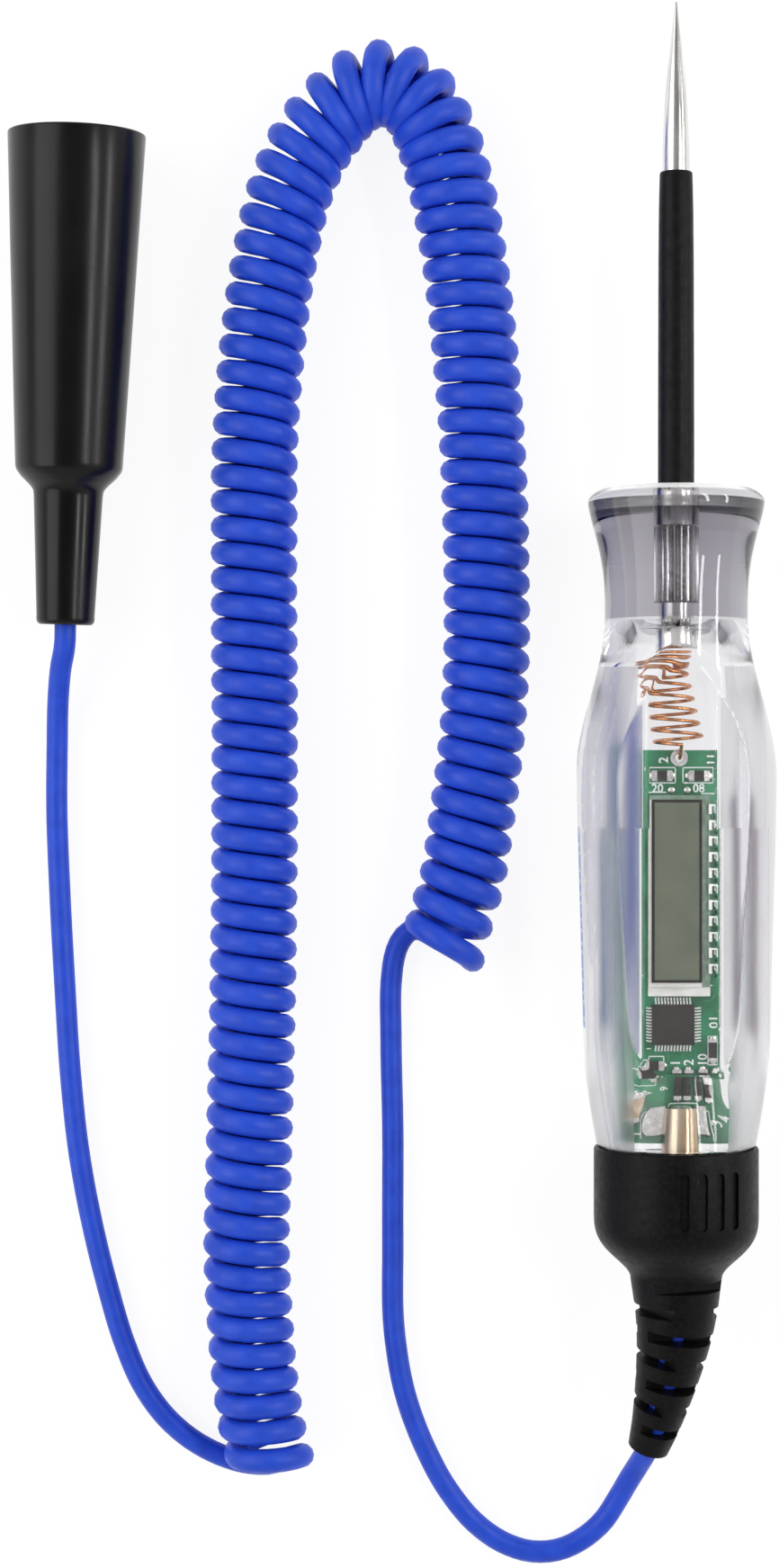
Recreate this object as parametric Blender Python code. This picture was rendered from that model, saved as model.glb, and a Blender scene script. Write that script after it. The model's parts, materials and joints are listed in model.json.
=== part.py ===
"""Digital circuit tester: clear handle, needle probe, curly cord and booted spring clip.

The tester lies on its flared front rim with its handle's axis along +Y and its probe forward.
Lengths along the handle are stations behind its front face, and local Y is minus the station.
"""
import math

import bmesh
import bpy
from mathutils import Matrix, Vector

MM = 0.001

# Clearances
FIT_GAP = 0.3 * MM
BOND_GAP = 0.1 * MM
FLOOR_GAP = 0.05 * MM

# Probe and its sleeve
PROBE_REACH = 78.0 * MM
POINT_LENGTH = 17.4 * MM
POINT_RADIUS = 1.94 * MM
NEEDLE_END_RADIUS = 0.25 * MM
SHAFT_TAPER_LENGTH = 6.8 * MM
SHAFT_RADIUS = 2.2 * MM
BARE_SHAFT_LENGTH = 3.1 * MM
COLLAR_STEP = 0.3 * MM
COLLAR_RADIUS = SHAFT_RADIUS + COLLAR_STEP
COLLAR_LENGTH = 5.1 * MM
SPLINE_COUNT = 18
SPLINE_LENGTH = 13.2 * MM
SPLINE_RADIUS = COLLAR_RADIUS - 0.05 * MM
SPLINE_DEPTH = 0.2 * MM
PROBE_NECK_RADIUS = 1.9 * MM
PROBE_NECK_LENGTH = 2.75 * MM
HEAD_RADIUS = 3.3 * MM
HEAD_LENGTH = 4.75 * MM
HEAD_SHOULDER_RADIUS = 2.5 * MM
SLEEVE_WALL = 0.6 * MM
SLEEVE_TIP_WALL = 0.35 * MM
SLEEVE_TIP_LENGTH = 6.0 * MM
SLEEVE_LENGTH = PROBE_REACH - POINT_LENGTH - SHAFT_TAPER_LENGTH - BARE_SHAFT_LENGTH - BOND_GAP

# Circuit board: heights are taken from the handle's axis, and its length is the sum of its zones
BOARD_WIDTH = 18.2 * MM
BOARD_THICKNESS = 1.2 * MM
BOARD_TOP = -0.2 * MM
BOARD_BOTTOM = BOARD_TOP - BOARD_THICKNESS
DISPLAY_OFFSET = 7.2 * MM
REAR_GLASS_LENGTH = 32.1 * MM
LEAD_SPAN = 9.0 * MM
REAR_ROW_SPACE = 5.1 * MM
CONTACT_SPACE = 3.0 * MM
CONTACT_LANDING = 5.05 * MM
CHIP_OFFSET = DISPLAY_OFFSET + REAR_GLASS_LENGTH + FIT_GAP + LEAD_SPAN / 2
FRONT_ROW = 4.1 * MM
LEFT_ROW = CHIP_OFFSET + LEAD_SPAN / 2 + 2.4 * MM
REAR_ROW = CHIP_OFFSET + LEAD_SPAN / 2 + REAR_ROW_SPACE
CONTACT_START = REAR_ROW + CONTACT_SPACE
BOARD_LENGTH = CONTACT_START + CONTACT_LANDING

# Stations of the cavity, the spring and the board
CAVITY_STATION = BOND_GAP + COLLAR_LENGTH + SPLINE_LENGTH + PROBE_NECK_LENGTH
HEAD_START = CAVITY_STATION + FIT_GAP
HEAD_END = HEAD_START + HEAD_LENGTH
SPRING_SPACE = 15.5 * MM
BOARD_FRONT = HEAD_END + SPRING_SPACE
BOARD_END_GAP = 1.3 * MM

# Handle: a turned body, flattened wide above and below and narrow at its sides
HANDLE_LENGTH = BOARD_FRONT + BOARD_LENGTH + BOARD_END_GAP
HANDLE_SEGMENTS = 40
BOARD_EDGE_GAP = 0.39 * MM
FRONT_BORE_RADIUS = math.hypot(BOARD_WIDTH / 2, BOARD_BOTTOM) + BOARD_EDGE_GAP
BORE_STEP = 0.3 * MM
BORE_RADIUS = FRONT_BORE_RADIUS + BORE_STEP
BORE_STEP_OFFSET = 12.4 * MM
BORE_FLAT_SHARE = 0.8
BORE_FLAT_HEIGHT = BORE_RADIUS * BORE_FLAT_SHARE
BORE_FLAT_INSET = 1.0 * MM
CAVITY_RADIUS = 6.15 * MM
CAVITY_CONE_LENGTH = 7.75 * MM
SPIGOT_LENGTH = 9.3 * MM
SPIGOT_WALL = 1.7 * MM
SPIGOT_RADIUS = BORE_RADIUS + SPIGOT_WALL
FRONT_FACE_RADIUS = 11.2 * MM
FLARE_STATION = 2.3 * MM
FLARE_RADIUS = 14.1 * MM
WAIST_STATION = 18.0 * MM
WAIST_LENGTH = 2.0 * MM
WAIST_RADIUS = 11.4 * MM
GRIP_STATION = 46.6 * MM
REAR_STEP = 1.1 * MM
REAR_RADIUS = SPIGOT_RADIUS + REAR_STEP
HEEL_LENGTH = 19.5 * MM
HEEL_SWELL = 2.5 * MM
HEEL_RADIUS = REAR_RADIUS + HEEL_SWELL
GRIP_SWELL = 0.9 * MM
GRIP_RADIUS = HEEL_RADIUS + GRIP_SWELL
FLAT_WALL = 2.5 * MM
FLAT_HEIGHT = BORE_RADIUS + FLAT_WALL
FLAT_REAR = HANDLE_LENGTH - 26.95 * MM
RUN_OUT_RADIUS = 105.0 * MM
RUN_OUT_LENGTH = 32.0 * MM
SIDE_FLAT_DEPTH = 0.35 * MM
SIDE_FLAT_TAPER = math.radians(1.55)
AXIS_HEIGHT = FLARE_RADIUS

# Eyelet and contact spring
EYELET_OFFSET = 1.25 * MM
EYELET_SIDE = 0.35 * MM
EYELET_BORE = 0.6 * MM
EYELET_RADIUS = 0.95 * MM
EYELET_FLANGE_RADIUS = 1.4 * MM
EYELET_FLANGE = 0.25 * MM
COIL_WIRE_RADIUS = 0.275 * MM
SPRING_RADIUS = 3.9 * MM
CLOSED_TURNS = 3
CLOSED_PITCH = 0.8 * MM
OPEN_TURNS = 6
SPRING_LANDING_GAP = 0.8 * MM
SPRING_START = HEAD_END + FIT_GAP + COIL_WIRE_RADIUS
OPEN_PITCH = (BOARD_FRONT - SPRING_LANDING_GAP - SPRING_START - CLOSED_TURNS * CLOSED_PITCH) / OPEN_TURNS
SPRING_FRONT_SIDE = -2.0 * MM
SPRING_HEIGHT = 0.6 * MM
SPRING_POINTS_PER_TURN = 9

# Display
REAR_GLASS_WIDTH = 9.9 * MM
REAR_LEDGE = 1.6 * MM
PIN_LEDGE = 0.9 * MM
FRONT_GLASS_LENGTH = REAR_GLASS_LENGTH - REAR_LEDGE
FRONT_GLASS_WIDTH = REAR_GLASS_WIDTH - PIN_LEDGE
WINDOW_MARGIN = 0.7 * MM
WINDOW_LENGTH = FRONT_GLASS_LENGTH - 2 * WINDOW_MARGIN
WINDOW_WIDTH = FRONT_GLASS_WIDTH - 2 * (WINDOW_MARGIN - 0.2 * MM)
DISPLAY_SIDE = 0.24 * MM
DISPLAY_LEFT = DISPLAY_SIDE - REAR_GLASS_WIDTH / 2
FRONT_GLASS_SIDE = DISPLAY_LEFT + FRONT_GLASS_WIDTH / 2
GLASS_THICKNESS = 0.7 * MM
FILM_THICKNESS = 0.2 * MM
PIN_COUNT = 11
PIN_PITCH = 2.54 * MM
PIN_OFFSET = 2.2 * MM
PIN_WIDTH = 0.4 * MM
PIN_ARM = 2.0 * MM
PIN_TAIL = 1.0 * MM
PIN_HOLE_RADIUS = 0.55 * MM
BEAD_WIDTH = 0.8 * MM

# Microcontroller
CHIP_SIDE = -0.6 * MM
CHIP_SIZE = 7.0 * MM
CHIP_HEIGHT = 1.4 * MM
CHIP_STANDOFF = 0.15 * MM
LEADS_PER_SIDE = 12
LEAD_PITCH = 0.5 * MM
LEAD_WIDTH = 0.22 * MM
LEAD_THICKNESS = 0.15 * MM
LEAD_ROOT = 0.2 * MM

# Small chips: name, sideways centre, distance behind the board's front end, length, width, height, turned
TERMINAL_LENGTH = 0.6 * MM
TERMINAL_STEP = 0.06 * MM
SMALL_CHIPS = (
    ("chip_resistor_1", -2.4 * MM, FRONT_ROW, 3.3 * MM, 1.7 * MM, 0.55 * MM, True),
    ("chip_resistor_2", 3.5 * MM, FRONT_ROW, 3.3 * MM, 1.7 * MM, 0.55 * MM, True),
    ("chip_resistor_3", 4.1 * MM, REAR_ROW, 4.3 * MM, 1.45 * MM, 0.6 * MM, False),
    ("chip_resistor_4", 5.8 * MM, CHIP_OFFSET + 4.3 * MM, 3.8 * MM, 1.6 * MM, 0.55 * MM, False),
    ("chip_resistor_5", -3.7 * MM, LEFT_ROW, 3.2 * MM, 1.6 * MM, 0.55 * MM, True),
    ("zener_diode_1", -0.1 * MM, REAR_ROW, 4.3 * MM, 1.5 * MM, 1.1 * MM, False),
    ("zener_diode_2", 1.8 * MM, REAR_ROW, 4.3 * MM, 1.5 * MM, 1.1 * MM, False),
    ("chip_diode", 6.1 * MM, REAR_ROW + 0.2 * MM, 4.3 * MM, 1.4 * MM, 0.9 * MM, False),
    ("chip_capacitor", -6.8 * MM, REAR_ROW + 2.7 * MM, 4.0 * MM, 1.9 * MM, 1.1 * MM, False),
)

# Ground contact at the board's rear end, and the pin that plugs into it
CONTACT_SIDE = 0.55 * MM
CONTACT_HEIGHT = 2.4 * MM
CONTACT_SHEET = 0.4 * MM
CONTACT_OVERHANG = 1.85 * MM
CONTACT_LENGTH = CONTACT_LANDING + CONTACT_OVERHANG
WING_LENGTH = 3.9 * MM
WING_REACH_LEFT = 5.9 * MM
WING_REACH_RIGHT = 4.9 * MM
TERMINAL_RADIUS = 2.2 * MM
TERMINAL_INSET = 0.45 * MM
TERMINAL_PIN_LENGTH = CONTACT_LANDING + BOARD_END_GAP + SPIGOT_LENGTH - TERMINAL_INSET
TERMINAL_SOCKET_DEPTH = 4.0 * MM
CONDUCTOR_RADIUS = 0.8 * MM

# Rear cap with its strain relief, one moulding
CAP_SEGMENTS = 28
CAP_WALL = 1.25 * MM
CAP_RADIUS = SPIGOT_RADIUS + FIT_GAP + CAP_WALL
CAP_GRIP_LENGTH = 10.0 * MM
CAP_SHOULDER_LENGTH = 11.0 * MM
CAP_CHAMBER_RADIUS = 8.0 * MM
CAP_CHAMBER_LENGTH = 4.0 * MM
CAP_FUNNEL_LENGTH = 3.8 * MM
RELIEF_ROOT_RADIUS = 7.3 * MM
RELIEF_TIP_RADIUS = 3.3 * MM
RELIEF_RINGS = 12
GRIP_GROOVES = 4
GRIP_GROOVE_PITCH = math.radians(13.0)
GRIP_GROOVE_CENTRE = math.radians(20.0)
GRIP_GROOVE_LENGTH = 9.0 * MM
GRIP_GROOVE_WIDTH = 1.5 * MM
GRIP_GROOVE_DEPTH = 0.5 * MM
GRIP_GROOVE_INSET = 2.9 * MM
SLOT_TURN = math.radians(25.0)
SLOT_WIDTH = 1.7 * MM
SLOT_FLOOR = 1.7 * MM
SLOT_FIRST_FLOOR = 3.6 * MM
SLOT_PITCH = 3.93 * MM
SLOT_START = 1.0 * MM
SLOT_COUNT = 7

# Cord
CORD_RADIUS = 1.8 * MM
CORD_BORE_RADIUS = CORD_RADIUS + FIT_GAP
COIL_RADIUS = 7.1 * MM
CORD_STEP = 5.0 * MM
COIL_STEP = 6.5 * MM
COIL_STAND_OFF = 2.0 * MM

# Clip boot, measured back from its mouth
BOOT_SEGMENTS = 28
BOOT_MOUTH_RADIUS = 11.1 * MM
BOOT_SHOULDER_RADIUS = 8.65 * MM
BOOT_SHOULDER_LENGTH = 3.3 * MM
BOOT_NECK_ROOT_RADIUS = 5.6 * MM
BOOT_NECK_TIP_RADIUS = 4.65 * MM
BOOT_NECK_LENGTH = 21.8 * MM
BOOT_WALL = 1.2 * MM
BOOT_EDGE = 0.5 * MM
BOOT_MOUTH_PLACE = Vector((-96.15 * MM, 96.3 * MM, 0.0))
BOOT_HEADING = math.radians(-1.63)

# Spring clip inside the boot, heights taken from the boot's axis
CLIP_RECESS = 5.0 * MM
CLIP_SHEET = 0.6 * MM
FIXED_JAW_WIDTH = 7.0 * MM
JAW_SIDE_GAP = 0.4 * MM
JAW_NOSE_LENGTH = 2.0 * MM
JAW_NOSE_HEIGHT = 2.2 * MM
FIXED_JAW_DEPTH = 4.2 * MM
MOVING_JAW_HEIGHT = 3.6 * MM
JAW_REACH = 31.0 * MM
PIVOT_DISTANCE = CLIP_RECESS + JAW_REACH
PIVOT_RADIUS = 1.0 * MM
PIVOT_CLEARANCE = 0.2 * MM
PIVOT_HEAD_RADIUS = 1.7 * MM
PIVOT_HEAD_LENGTH = 0.6 * MM
EAR_RADIUS = 2.1 * MM
LEVER_LENGTH = 12.0 * MM
FIXED_JAW_LENGTH = JAW_REACH + LEVER_LENGTH + 0.5 * MM
LEVER_RISE = 1.7 * MM
TOOTH_COUNT = 12
TOOTH_PITCH = 1.5 * MM
TOOTH_DEPTH = 0.6 * MM
BARREL_RADIUS = 2.0 * MM
BARREL_BORE = 1.2 * MM
BARREL_LENGTH = 5.9 * MM
RAMP_LENGTH = 2.1 * MM
BARREL_DISTANCE = CLIP_RECESS + FIXED_JAW_LENGTH + RAMP_LENGTH
BOOT_CONE_LENGTH = BARREL_DISTANCE + 3.3 * MM
CLIP_WIRE_RADIUS = 0.35 * MM
CLIP_SPRING_RADIUS = 1.75 * MM
CLIP_SPRING_TURNS = 2
CLIP_SPRING_PITCH = 0.95 * MM
CLIP_SPRING_LEG = 8.0 * MM
CLIP_SPRING_POINTS_PER_TURN = 12

# Centreline of the strain relief: sideways, distance behind its root, height from the axis
RELIEF_ROUTE = (
    (0.0, 0.0, 0.0),
    (0.0, 5.0 * MM, 0.0),
    (-0.35 * MM, 9.5 * MM, -0.3 * MM),
    (-1.0 * MM, 14.0 * MM, -0.9 * MM),
    (-1.9 * MM, 19.0 * MM, -1.9 * MM),
    (-2.85 * MM, 23.5 * MM, -3.1 * MM),
    (-4.05 * MM, 28.1 * MM, -4.6 * MM),
)

# The cord's free stretch from the relief to the curly part, in the world
HANDLE_TAIL_ROUTE = (
    (-5.5 * MM, -119.2 * MM, 6.2 * MM),
    (-6.8 * MM, -121.9 * MM, 4.4 * MM),
    (-8.4 * MM, -125.2 * MM, 2.8 * MM),
    (-11.0 * MM, -129.4 * MM, 1.9 * MM),
    (-14.0 * MM, -132.0 * MM, 1.85 * MM),
    (-18.0 * MM, -133.9 * MM, 1.85 * MM),
    (-22.7 * MM, -134.2 * MM, 1.85 * MM),
    (-27.5 * MM, -132.6 * MM, 1.85 * MM),
    (-31.5 * MM, -129.8 * MM, 1.85 * MM),
    (-36.0 * MM, -124.5 * MM, 1.85 * MM),
    (-40.2 * MM, -116.8 * MM, 1.85 * MM),
    (-43.3 * MM, -108.3 * MM, 1.85 * MM),
    (-45.0 * MM, -98.7 * MM, 1.85 * MM),
    (-45.3 * MM, -83.2 * MM, 1.85 * MM),
    (-45.3 * MM, -65.0 * MM, 1.85 * MM),
    (-45.6 * MM, -50.0 * MM, 1.85 * MM),
    (-45.6 * MM, -41.5 * MM, 1.85 * MM),
    (-43.9 * MM, -38.0 * MM, 1.85 * MM),
    (-41.0 * MM, -37.2 * MM, 1.85 * MM),
)

# The curly part's axis
COIL_ROUTE = (
    (-37.0 * MM, -34.0 * MM),
    (-34.6 * MM, -26.0 * MM),
    (-32.6 * MM, -14.0 * MM),
    (-30.9 * MM, -1.0 * MM),
    (-30.1 * MM, 12.5 * MM),
    (-30.1 * MM, 25.0 * MM),
    (-30.7 * MM, 45.0 * MM),
    (-31.9 * MM, 61.0 * MM),
    (-33.6 * MM, 76.0 * MM),
    (-35.9 * MM, 88.8 * MM),
    (-38.6 * MM, 97.6 * MM),
    (-41.9 * MM, 103.1 * MM),
    (-45.9 * MM, 105.2 * MM),
    (-50.3 * MM, 104.4 * MM),
    (-54.6 * MM, 100.7 * MM),
    (-58.6 * MM, 95.5 * MM),
    (-61.6 * MM, 88.9 * MM),
    (-64.3 * MM, 78.0 * MM),
    (-66.3 * MM, 64.0 * MM),
    (-67.6 * MM, 48.0 * MM),
    (-67.8 * MM, 30.0 * MM),
    (-67.7 * MM, 0.0),
    (-67.8 * MM, -27.0 * MM),
    (-68.1 * MM, -46.0 * MM),
    (-68.7 * MM, -70.0 * MM),
    (-69.0 * MM, -85.0 * MM),
    (-68.4 * MM, -96.5 * MM),
    (-67.4 * MM, -107.0 * MM),
    (-66.0 * MM, -115.7 * MM),
)

# The cord's free stretch from the curly part to the clip's boot
CLIP_TAIL_ROUTE = (
    (-69.6 * MM, -119.6 * MM, 1.85 * MM),
    (-73.0 * MM, -118.6 * MM, 1.85 * MM),
    (-77.9 * MM, -116.1 * MM, 1.85 * MM),
    (-82.3 * MM, -112.4 * MM, 1.85 * MM),
    (-86.3 * MM, -106.9 * MM, 1.85 * MM),
    (-89.3 * MM, -100.0 * MM, 1.85 * MM),
    (-92.0 * MM, -91.0 * MM, 1.85 * MM),
    (-94.7 * MM, -80.0 * MM, 1.85 * MM),
    (-96.8 * MM, -68.5 * MM, 1.85 * MM),
    (-98.1 * MM, -56.6 * MM, 1.85 * MM),
    (-99.1 * MM, -41.0 * MM, 1.85 * MM),
    (-99.9 * MM, -26.0 * MM, 1.85 * MM),
    (-100.4 * MM, -12.0 * MM, 1.85 * MM),
    (-100.3 * MM, -2.1 * MM, 2.1 * MM),
    (-100.0 * MM, 5.3 * MM, 3.6 * MM),
    (-99.4 * MM, 10.2 * MM, 5.5 * MM),
)


# Worked-out places
def relief_rear_reach():
    """Gives how far the relief's rear-most edge lies behind its root."""
    before, end = (Vector(point) for point in RELIEF_ROUTE[-2:])
    heading = (end - before).normalized()
    return end.y + RELIEF_TIP_RADIUS * math.sqrt(1.0 - heading.y ** 2)


CAP_RIM = HANDLE_LENGTH + FIT_GAP
SOCKET_END = HANDLE_LENGTH + SPIGOT_LENGTH + FIT_GAP
FUNNEL_END = SOCKET_END + CAP_CHAMBER_LENGTH + CAP_FUNNEL_LENGTH
RELIEF_ROOT = CAP_RIM + CAP_GRIP_LENGTH + CAP_SHOULDER_LENGTH
REAR_REACH = RELIEF_ROOT + relief_rear_reach()
FRONT_FACE = (PROBE_REACH + REAR_REACH) / 2 - PROBE_REACH
BOOT_LENGTH = BOOT_CONE_LENGTH + BOOT_SHOULDER_LENGTH + BOOT_NECK_LENGTH
BOOT_PITCH = math.atan2(BOOT_MOUTH_RADIUS - BOOT_SHOULDER_RADIUS, BOOT_CONE_LENGTH)
COIL_HEIGHT = COIL_RADIUS + FLOOR_GAP
CORD_HEIGHT = CORD_RADIUS + FLOOR_GAP


# Objects and materials
def clear_scene():
    """Removes every object of the scene."""
    for item in list(bpy.data.objects):
        bpy.data.objects.remove(item, do_unlink=True)


def make_material(name, color, roughness, metallic=0.0, transmission=0.0):
    """Makes a Principled material."""
    material = bpy.data.materials.new(name)
    material.use_nodes = True
    shader = material.node_tree.nodes["Principled BSDF"]
    shader.inputs["Base Color"].default_value = (*color, 1.0)
    shader.inputs["Roughness"].default_value = roughness
    shader.inputs["Metallic"].default_value = metallic
    shader.inputs["Transmission Weight"].default_value = transmission
    material.diffuse_color = (*color, 1.0)
    return material


def add_object(name, data, material=None, parent=None):
    """Links an object with its material and parent."""
    item = bpy.data.objects.new(name, data)
    bpy.context.scene.collection.objects.link(item)
    if material:
        data.materials.append(material)
    if parent:
        item.parent = parent
    return item


def make_frame(name, place, rotation=(0.0, 0.0, 0.0)):
    """Makes an empty that carries the pieces of one axis."""
    frame = add_object(name, None)
    frame.location = place
    frame.rotation_euler = rotation
    return frame


def mesh_object(name, shape, material=None, parent=None, sharp_angle=35.0):
    """Turns a bmesh into an object, smooth apart from its sharp edges."""
    bmesh.ops.recalc_face_normals(shape, faces=shape.faces)
    mesh = bpy.data.meshes.new(name)
    shape.to_mesh(mesh)
    shape.free()
    mesh.shade_smooth()
    mesh.set_sharp_from_angle(angle=math.radians(sharp_angle))
    return add_object(name, mesh, material, parent)


def combine(item, tool, operation):
    """Applies a hidden tool object to an item with a Boolean modifier."""
    tool.hide_render = True
    tool.display_type = "WIRE"
    modifier = item.modifiers.new(tool.name, "BOOLEAN")
    modifier.operation = operation
    modifier.solver = "EXACT"
    modifier.object = tool


# Shapes
def turn_profile(shape, profile, segments, hollow, place=Matrix()):
    """Spins (distance back, radius) points about local Y; a hollow profile closes on itself."""
    ring = [shape.verts.new((radius, -along, 0.0)) for along, radius in profile]
    edges = [shape.edges.new(pair) for pair in zip(ring, ring[1:])]
    if hollow:
        edges.append(shape.edges.new((ring[-1], ring[0])))
    before = set(shape.verts) - set(ring)
    bmesh.ops.spin(shape, geom=ring + edges, cent=(0, 0, 0), axis=(0, 1, 0), angle=math.tau,
                   steps=segments, use_merge=True)
    made = [vert for vert in shape.verts if vert not in before]
    bmesh.ops.remove_doubles(shape, verts=made, dist=1e-7)
    made = [vert for vert in shape.verts if vert not in before]
    bmesh.ops.transform(shape, matrix=place, verts=made)


def turned(name, profile, segments, hollow, material=None, parent=None):
    """Makes a turned piece."""
    shape = bmesh.new()
    turn_profile(shape, profile, segments, hollow)
    return mesh_object(name, shape, material, parent)


def add_prism(shape, outline, low, high, place=Matrix()):
    """Adds an outline in local X and Y, extruded from low to high along local Z."""
    base = [shape.verts.new(place @ Vector((x, y, low))) for x, y in outline]
    face = shape.faces.new(base)
    grown = bmesh.ops.extrude_face_region(shape, geom=[face])
    top = [item for item in grown["geom"] if isinstance(item, bmesh.types.BMVert)]
    rise = place.to_3x3() @ Vector((0.0, 0.0, high - low))
    bmesh.ops.translate(shape, verts=top, vec=rise)


def rectangle(left, right, near, far):
    """Gives the corners of a rectangle."""
    return [(left, near), (right, near), (right, far), (left, far)]


def circle(radius, count, centre=(0.0, 0.0)):
    """Gives the corners of a regular polygon on a circle."""
    angles = [math.tau * step / count for step in range(count)]
    return [(centre[0] + radius * math.cos(angle), centre[1] + radius * math.sin(angle)) for angle in angles]


def stadium(length, width, arc_steps=4):
    """Gives an outline with round ends, long in local Y."""
    radius = width / 2
    outline = []
    for sign in (1, -1):
        for step in range(arc_steps + 1):
            angle = math.pi * step / arc_steps + (0.0 if sign > 0 else math.pi)
            offset = sign * (length / 2 - radius)
            outline.append((radius * math.cos(angle), offset + radius * math.sin(angle)))
    return outline


def prism(name, outline, low, high, material=None, parent=None, place=Matrix()):
    """Makes one prism as an object."""
    shape = bmesh.new()
    add_prism(shape, outline, low, high, place)
    return mesh_object(name, shape, material, parent)


# Local X and Y of an outline laid across the handle: X stays X, and outline Y becomes height
ACROSS = Matrix(((1, 0, 0, 0), (0, 0, -1, 0), (0, 1, 0, 0), (0, 0, 0, 1)))
# Outline X becomes the distance back, outline Y becomes height, and the extrusion runs along X
ALONG = Matrix(((0, 0, 1, 0), (-1, 0, 0, 0), (0, 1, 0, 0), (0, 0, 0, 1)))


def smooth_route(points, step):
    """Samples an even-spaced smooth curve through the route's points."""
    knots = [Vector(point) for point in points]
    knots = [knots[0] * 2 - knots[1]] + knots + [knots[-1] * 2 - knots[-2]]
    dense = []
    for index in range(1, len(knots) - 2):
        before, start, end, after = knots[index - 1:index + 3]
        reach = (end - start).length
        leave = tangent_at(before, start, end) * reach
        arrive = tangent_at(start, end, after) * reach
        for part in range(16):
            t = part / 16
            dense.append(start * (2 * t ** 3 - 3 * t ** 2 + 1) + leave * (t ** 3 - 2 * t ** 2 + t)
                         + end * (3 * t ** 2 - 2 * t ** 3) + arrive * (t ** 3 - t ** 2))
    dense.append(knots[-2])
    return even_spaced(dense, step)


def tangent_at(before, point, after):
    """Gives the unit direction of a smooth curve at a knot, weighed by the nearer neighbour."""
    back, ahead = point - before, after - point
    return (back / back.length ** 2 + ahead / ahead.length ** 2).normalized()


def even_spaced(dense, step):
    """Resamples a dense line at even distances close to step."""
    lengths = [0.0]
    for start, end in zip(dense, dense[1:]):
        lengths.append(lengths[-1] + (end - start).length)
    count = max(2, round(lengths[-1] / step))
    spaced = []
    index = 0
    for part in range(count + 1):
        target = lengths[-1] * part / count
        while index < len(lengths) - 2 and lengths[index + 1] < target:
            index += 1
        share = (target - lengths[index]) / (lengths[index + 1] - lengths[index])
        spaced.append(dense[index].lerp(dense[index + 1], share))
    return spaced


def tube(name, points, radius, sides_level, material, parent=None):
    """Makes a solid tube along the points."""
    curve = bpy.data.curves.new(name, "CURVE")
    curve.dimensions = "3D"
    curve.render_resolution_u = 0
    curve.bevel_depth = radius
    curve.bevel_resolution = sides_level
    curve.use_fill_caps = True
    spline = curve.splines.new("POLY")
    spline.points.add(len(points) - 1)
    for slot, point in zip(spline.points, points):
        slot.co = (*point, 1.0)
    return add_object(name, curve, material, parent)


# Handle
def handle_outline():
    """Gives the handle's outer stations and radii, through smooth stretches."""
    heel = HANDLE_LENGTH - HEEL_LENGTH
    waist_end = WAIST_STATION + WAIST_LENGTH
    flare_to_waist = ease((FLARE_STATION, FLARE_RADIUS), (WAIST_STATION, WAIST_RADIUS), 6, 1.5)
    waist_to_grip = ease((GRIP_STATION, GRIP_RADIUS), (waist_end, WAIST_RADIUS), 8, 1.0)[::-1]
    grip_to_heel = ease((GRIP_STATION, GRIP_RADIUS), (heel, HEEL_RADIUS), 2, 1.0)
    heel_to_rear = bow((heel, HEEL_RADIUS), (HANDLE_LENGTH, REAR_RADIUS), 5)
    lip = [(0.0, FRONT_FACE_RADIUS), (FLARE_STATION * 0.22, FRONT_FACE_RADIUS * 0.45 + FLARE_RADIUS * 0.55),
           (FLARE_STATION * 0.55, FRONT_FACE_RADIUS * 0.18 + FLARE_RADIUS * 0.82)]
    return lip + flare_to_waist + waist_to_grip[:-1] + grip_to_heel[:-1] + heel_to_rear


def ease(start, end, steps, bias):
    """Gives an S-shaped stretch; a bias above 1 leaves the start sooner."""
    points = []
    for step in range(steps + 1):
        share = step / steps
        blend = (1.0 - math.cos(math.pi * share ** (1.0 / bias))) / 2
        points.append((start[0] + (end[0] - start[0]) * share, start[1] + (end[1] - start[1]) * blend))
    return points


def bow(start, end, steps):
    """Gives a stretch that starts level and falls off towards its end."""
    points = []
    for step in range(steps + 1):
        share = step / steps
        points.append((start[0] + (end[0] - start[0]) * share, start[1] + (end[1] - start[1]) * share ** 1.5))
    return points


def flat_cutter_outline():
    """Gives the wide flat's cutter from the side: level, then a concave run-out."""
    front = WAIST_STATION
    outline = [(front, FLAT_HEIGHT), (FLAT_REAR, FLAT_HEIGHT)]
    for step in range(1, 6):
        back = RUN_OUT_LENGTH * step / 5
        rise = RUN_OUT_RADIUS - math.sqrt(RUN_OUT_RADIUS ** 2 - back ** 2)
        outline.append((FLAT_REAR + back, FLAT_HEIGHT + rise))
    top = GRIP_RADIUS * 1.5
    return outline + [(FLAT_REAR + RUN_OUT_LENGTH, top), (front, top)]


def bore_flat_shapes():
    """Makes the two segments that flatten the bore above and below the board."""
    shape = bmesh.new()
    reach = BORE_RADIUS + SPIGOT_WALL / 4
    low = math.asin(BORE_FLAT_HEIGHT / reach)
    arc = [low + (math.pi - 2 * low) * step / 10 for step in range(11)]
    start, end = CAVITY_STATION + CAVITY_CONE_LENGTH * 0.4, HANDLE_LENGTH - BORE_FLAT_INSET
    for sign in (1, -1):
        outline = [(reach * math.cos(angle), sign * reach * math.sin(angle)) for angle in arc]
        add_prism(shape, outline, start, end, ACROSS)
    return shape


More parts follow.
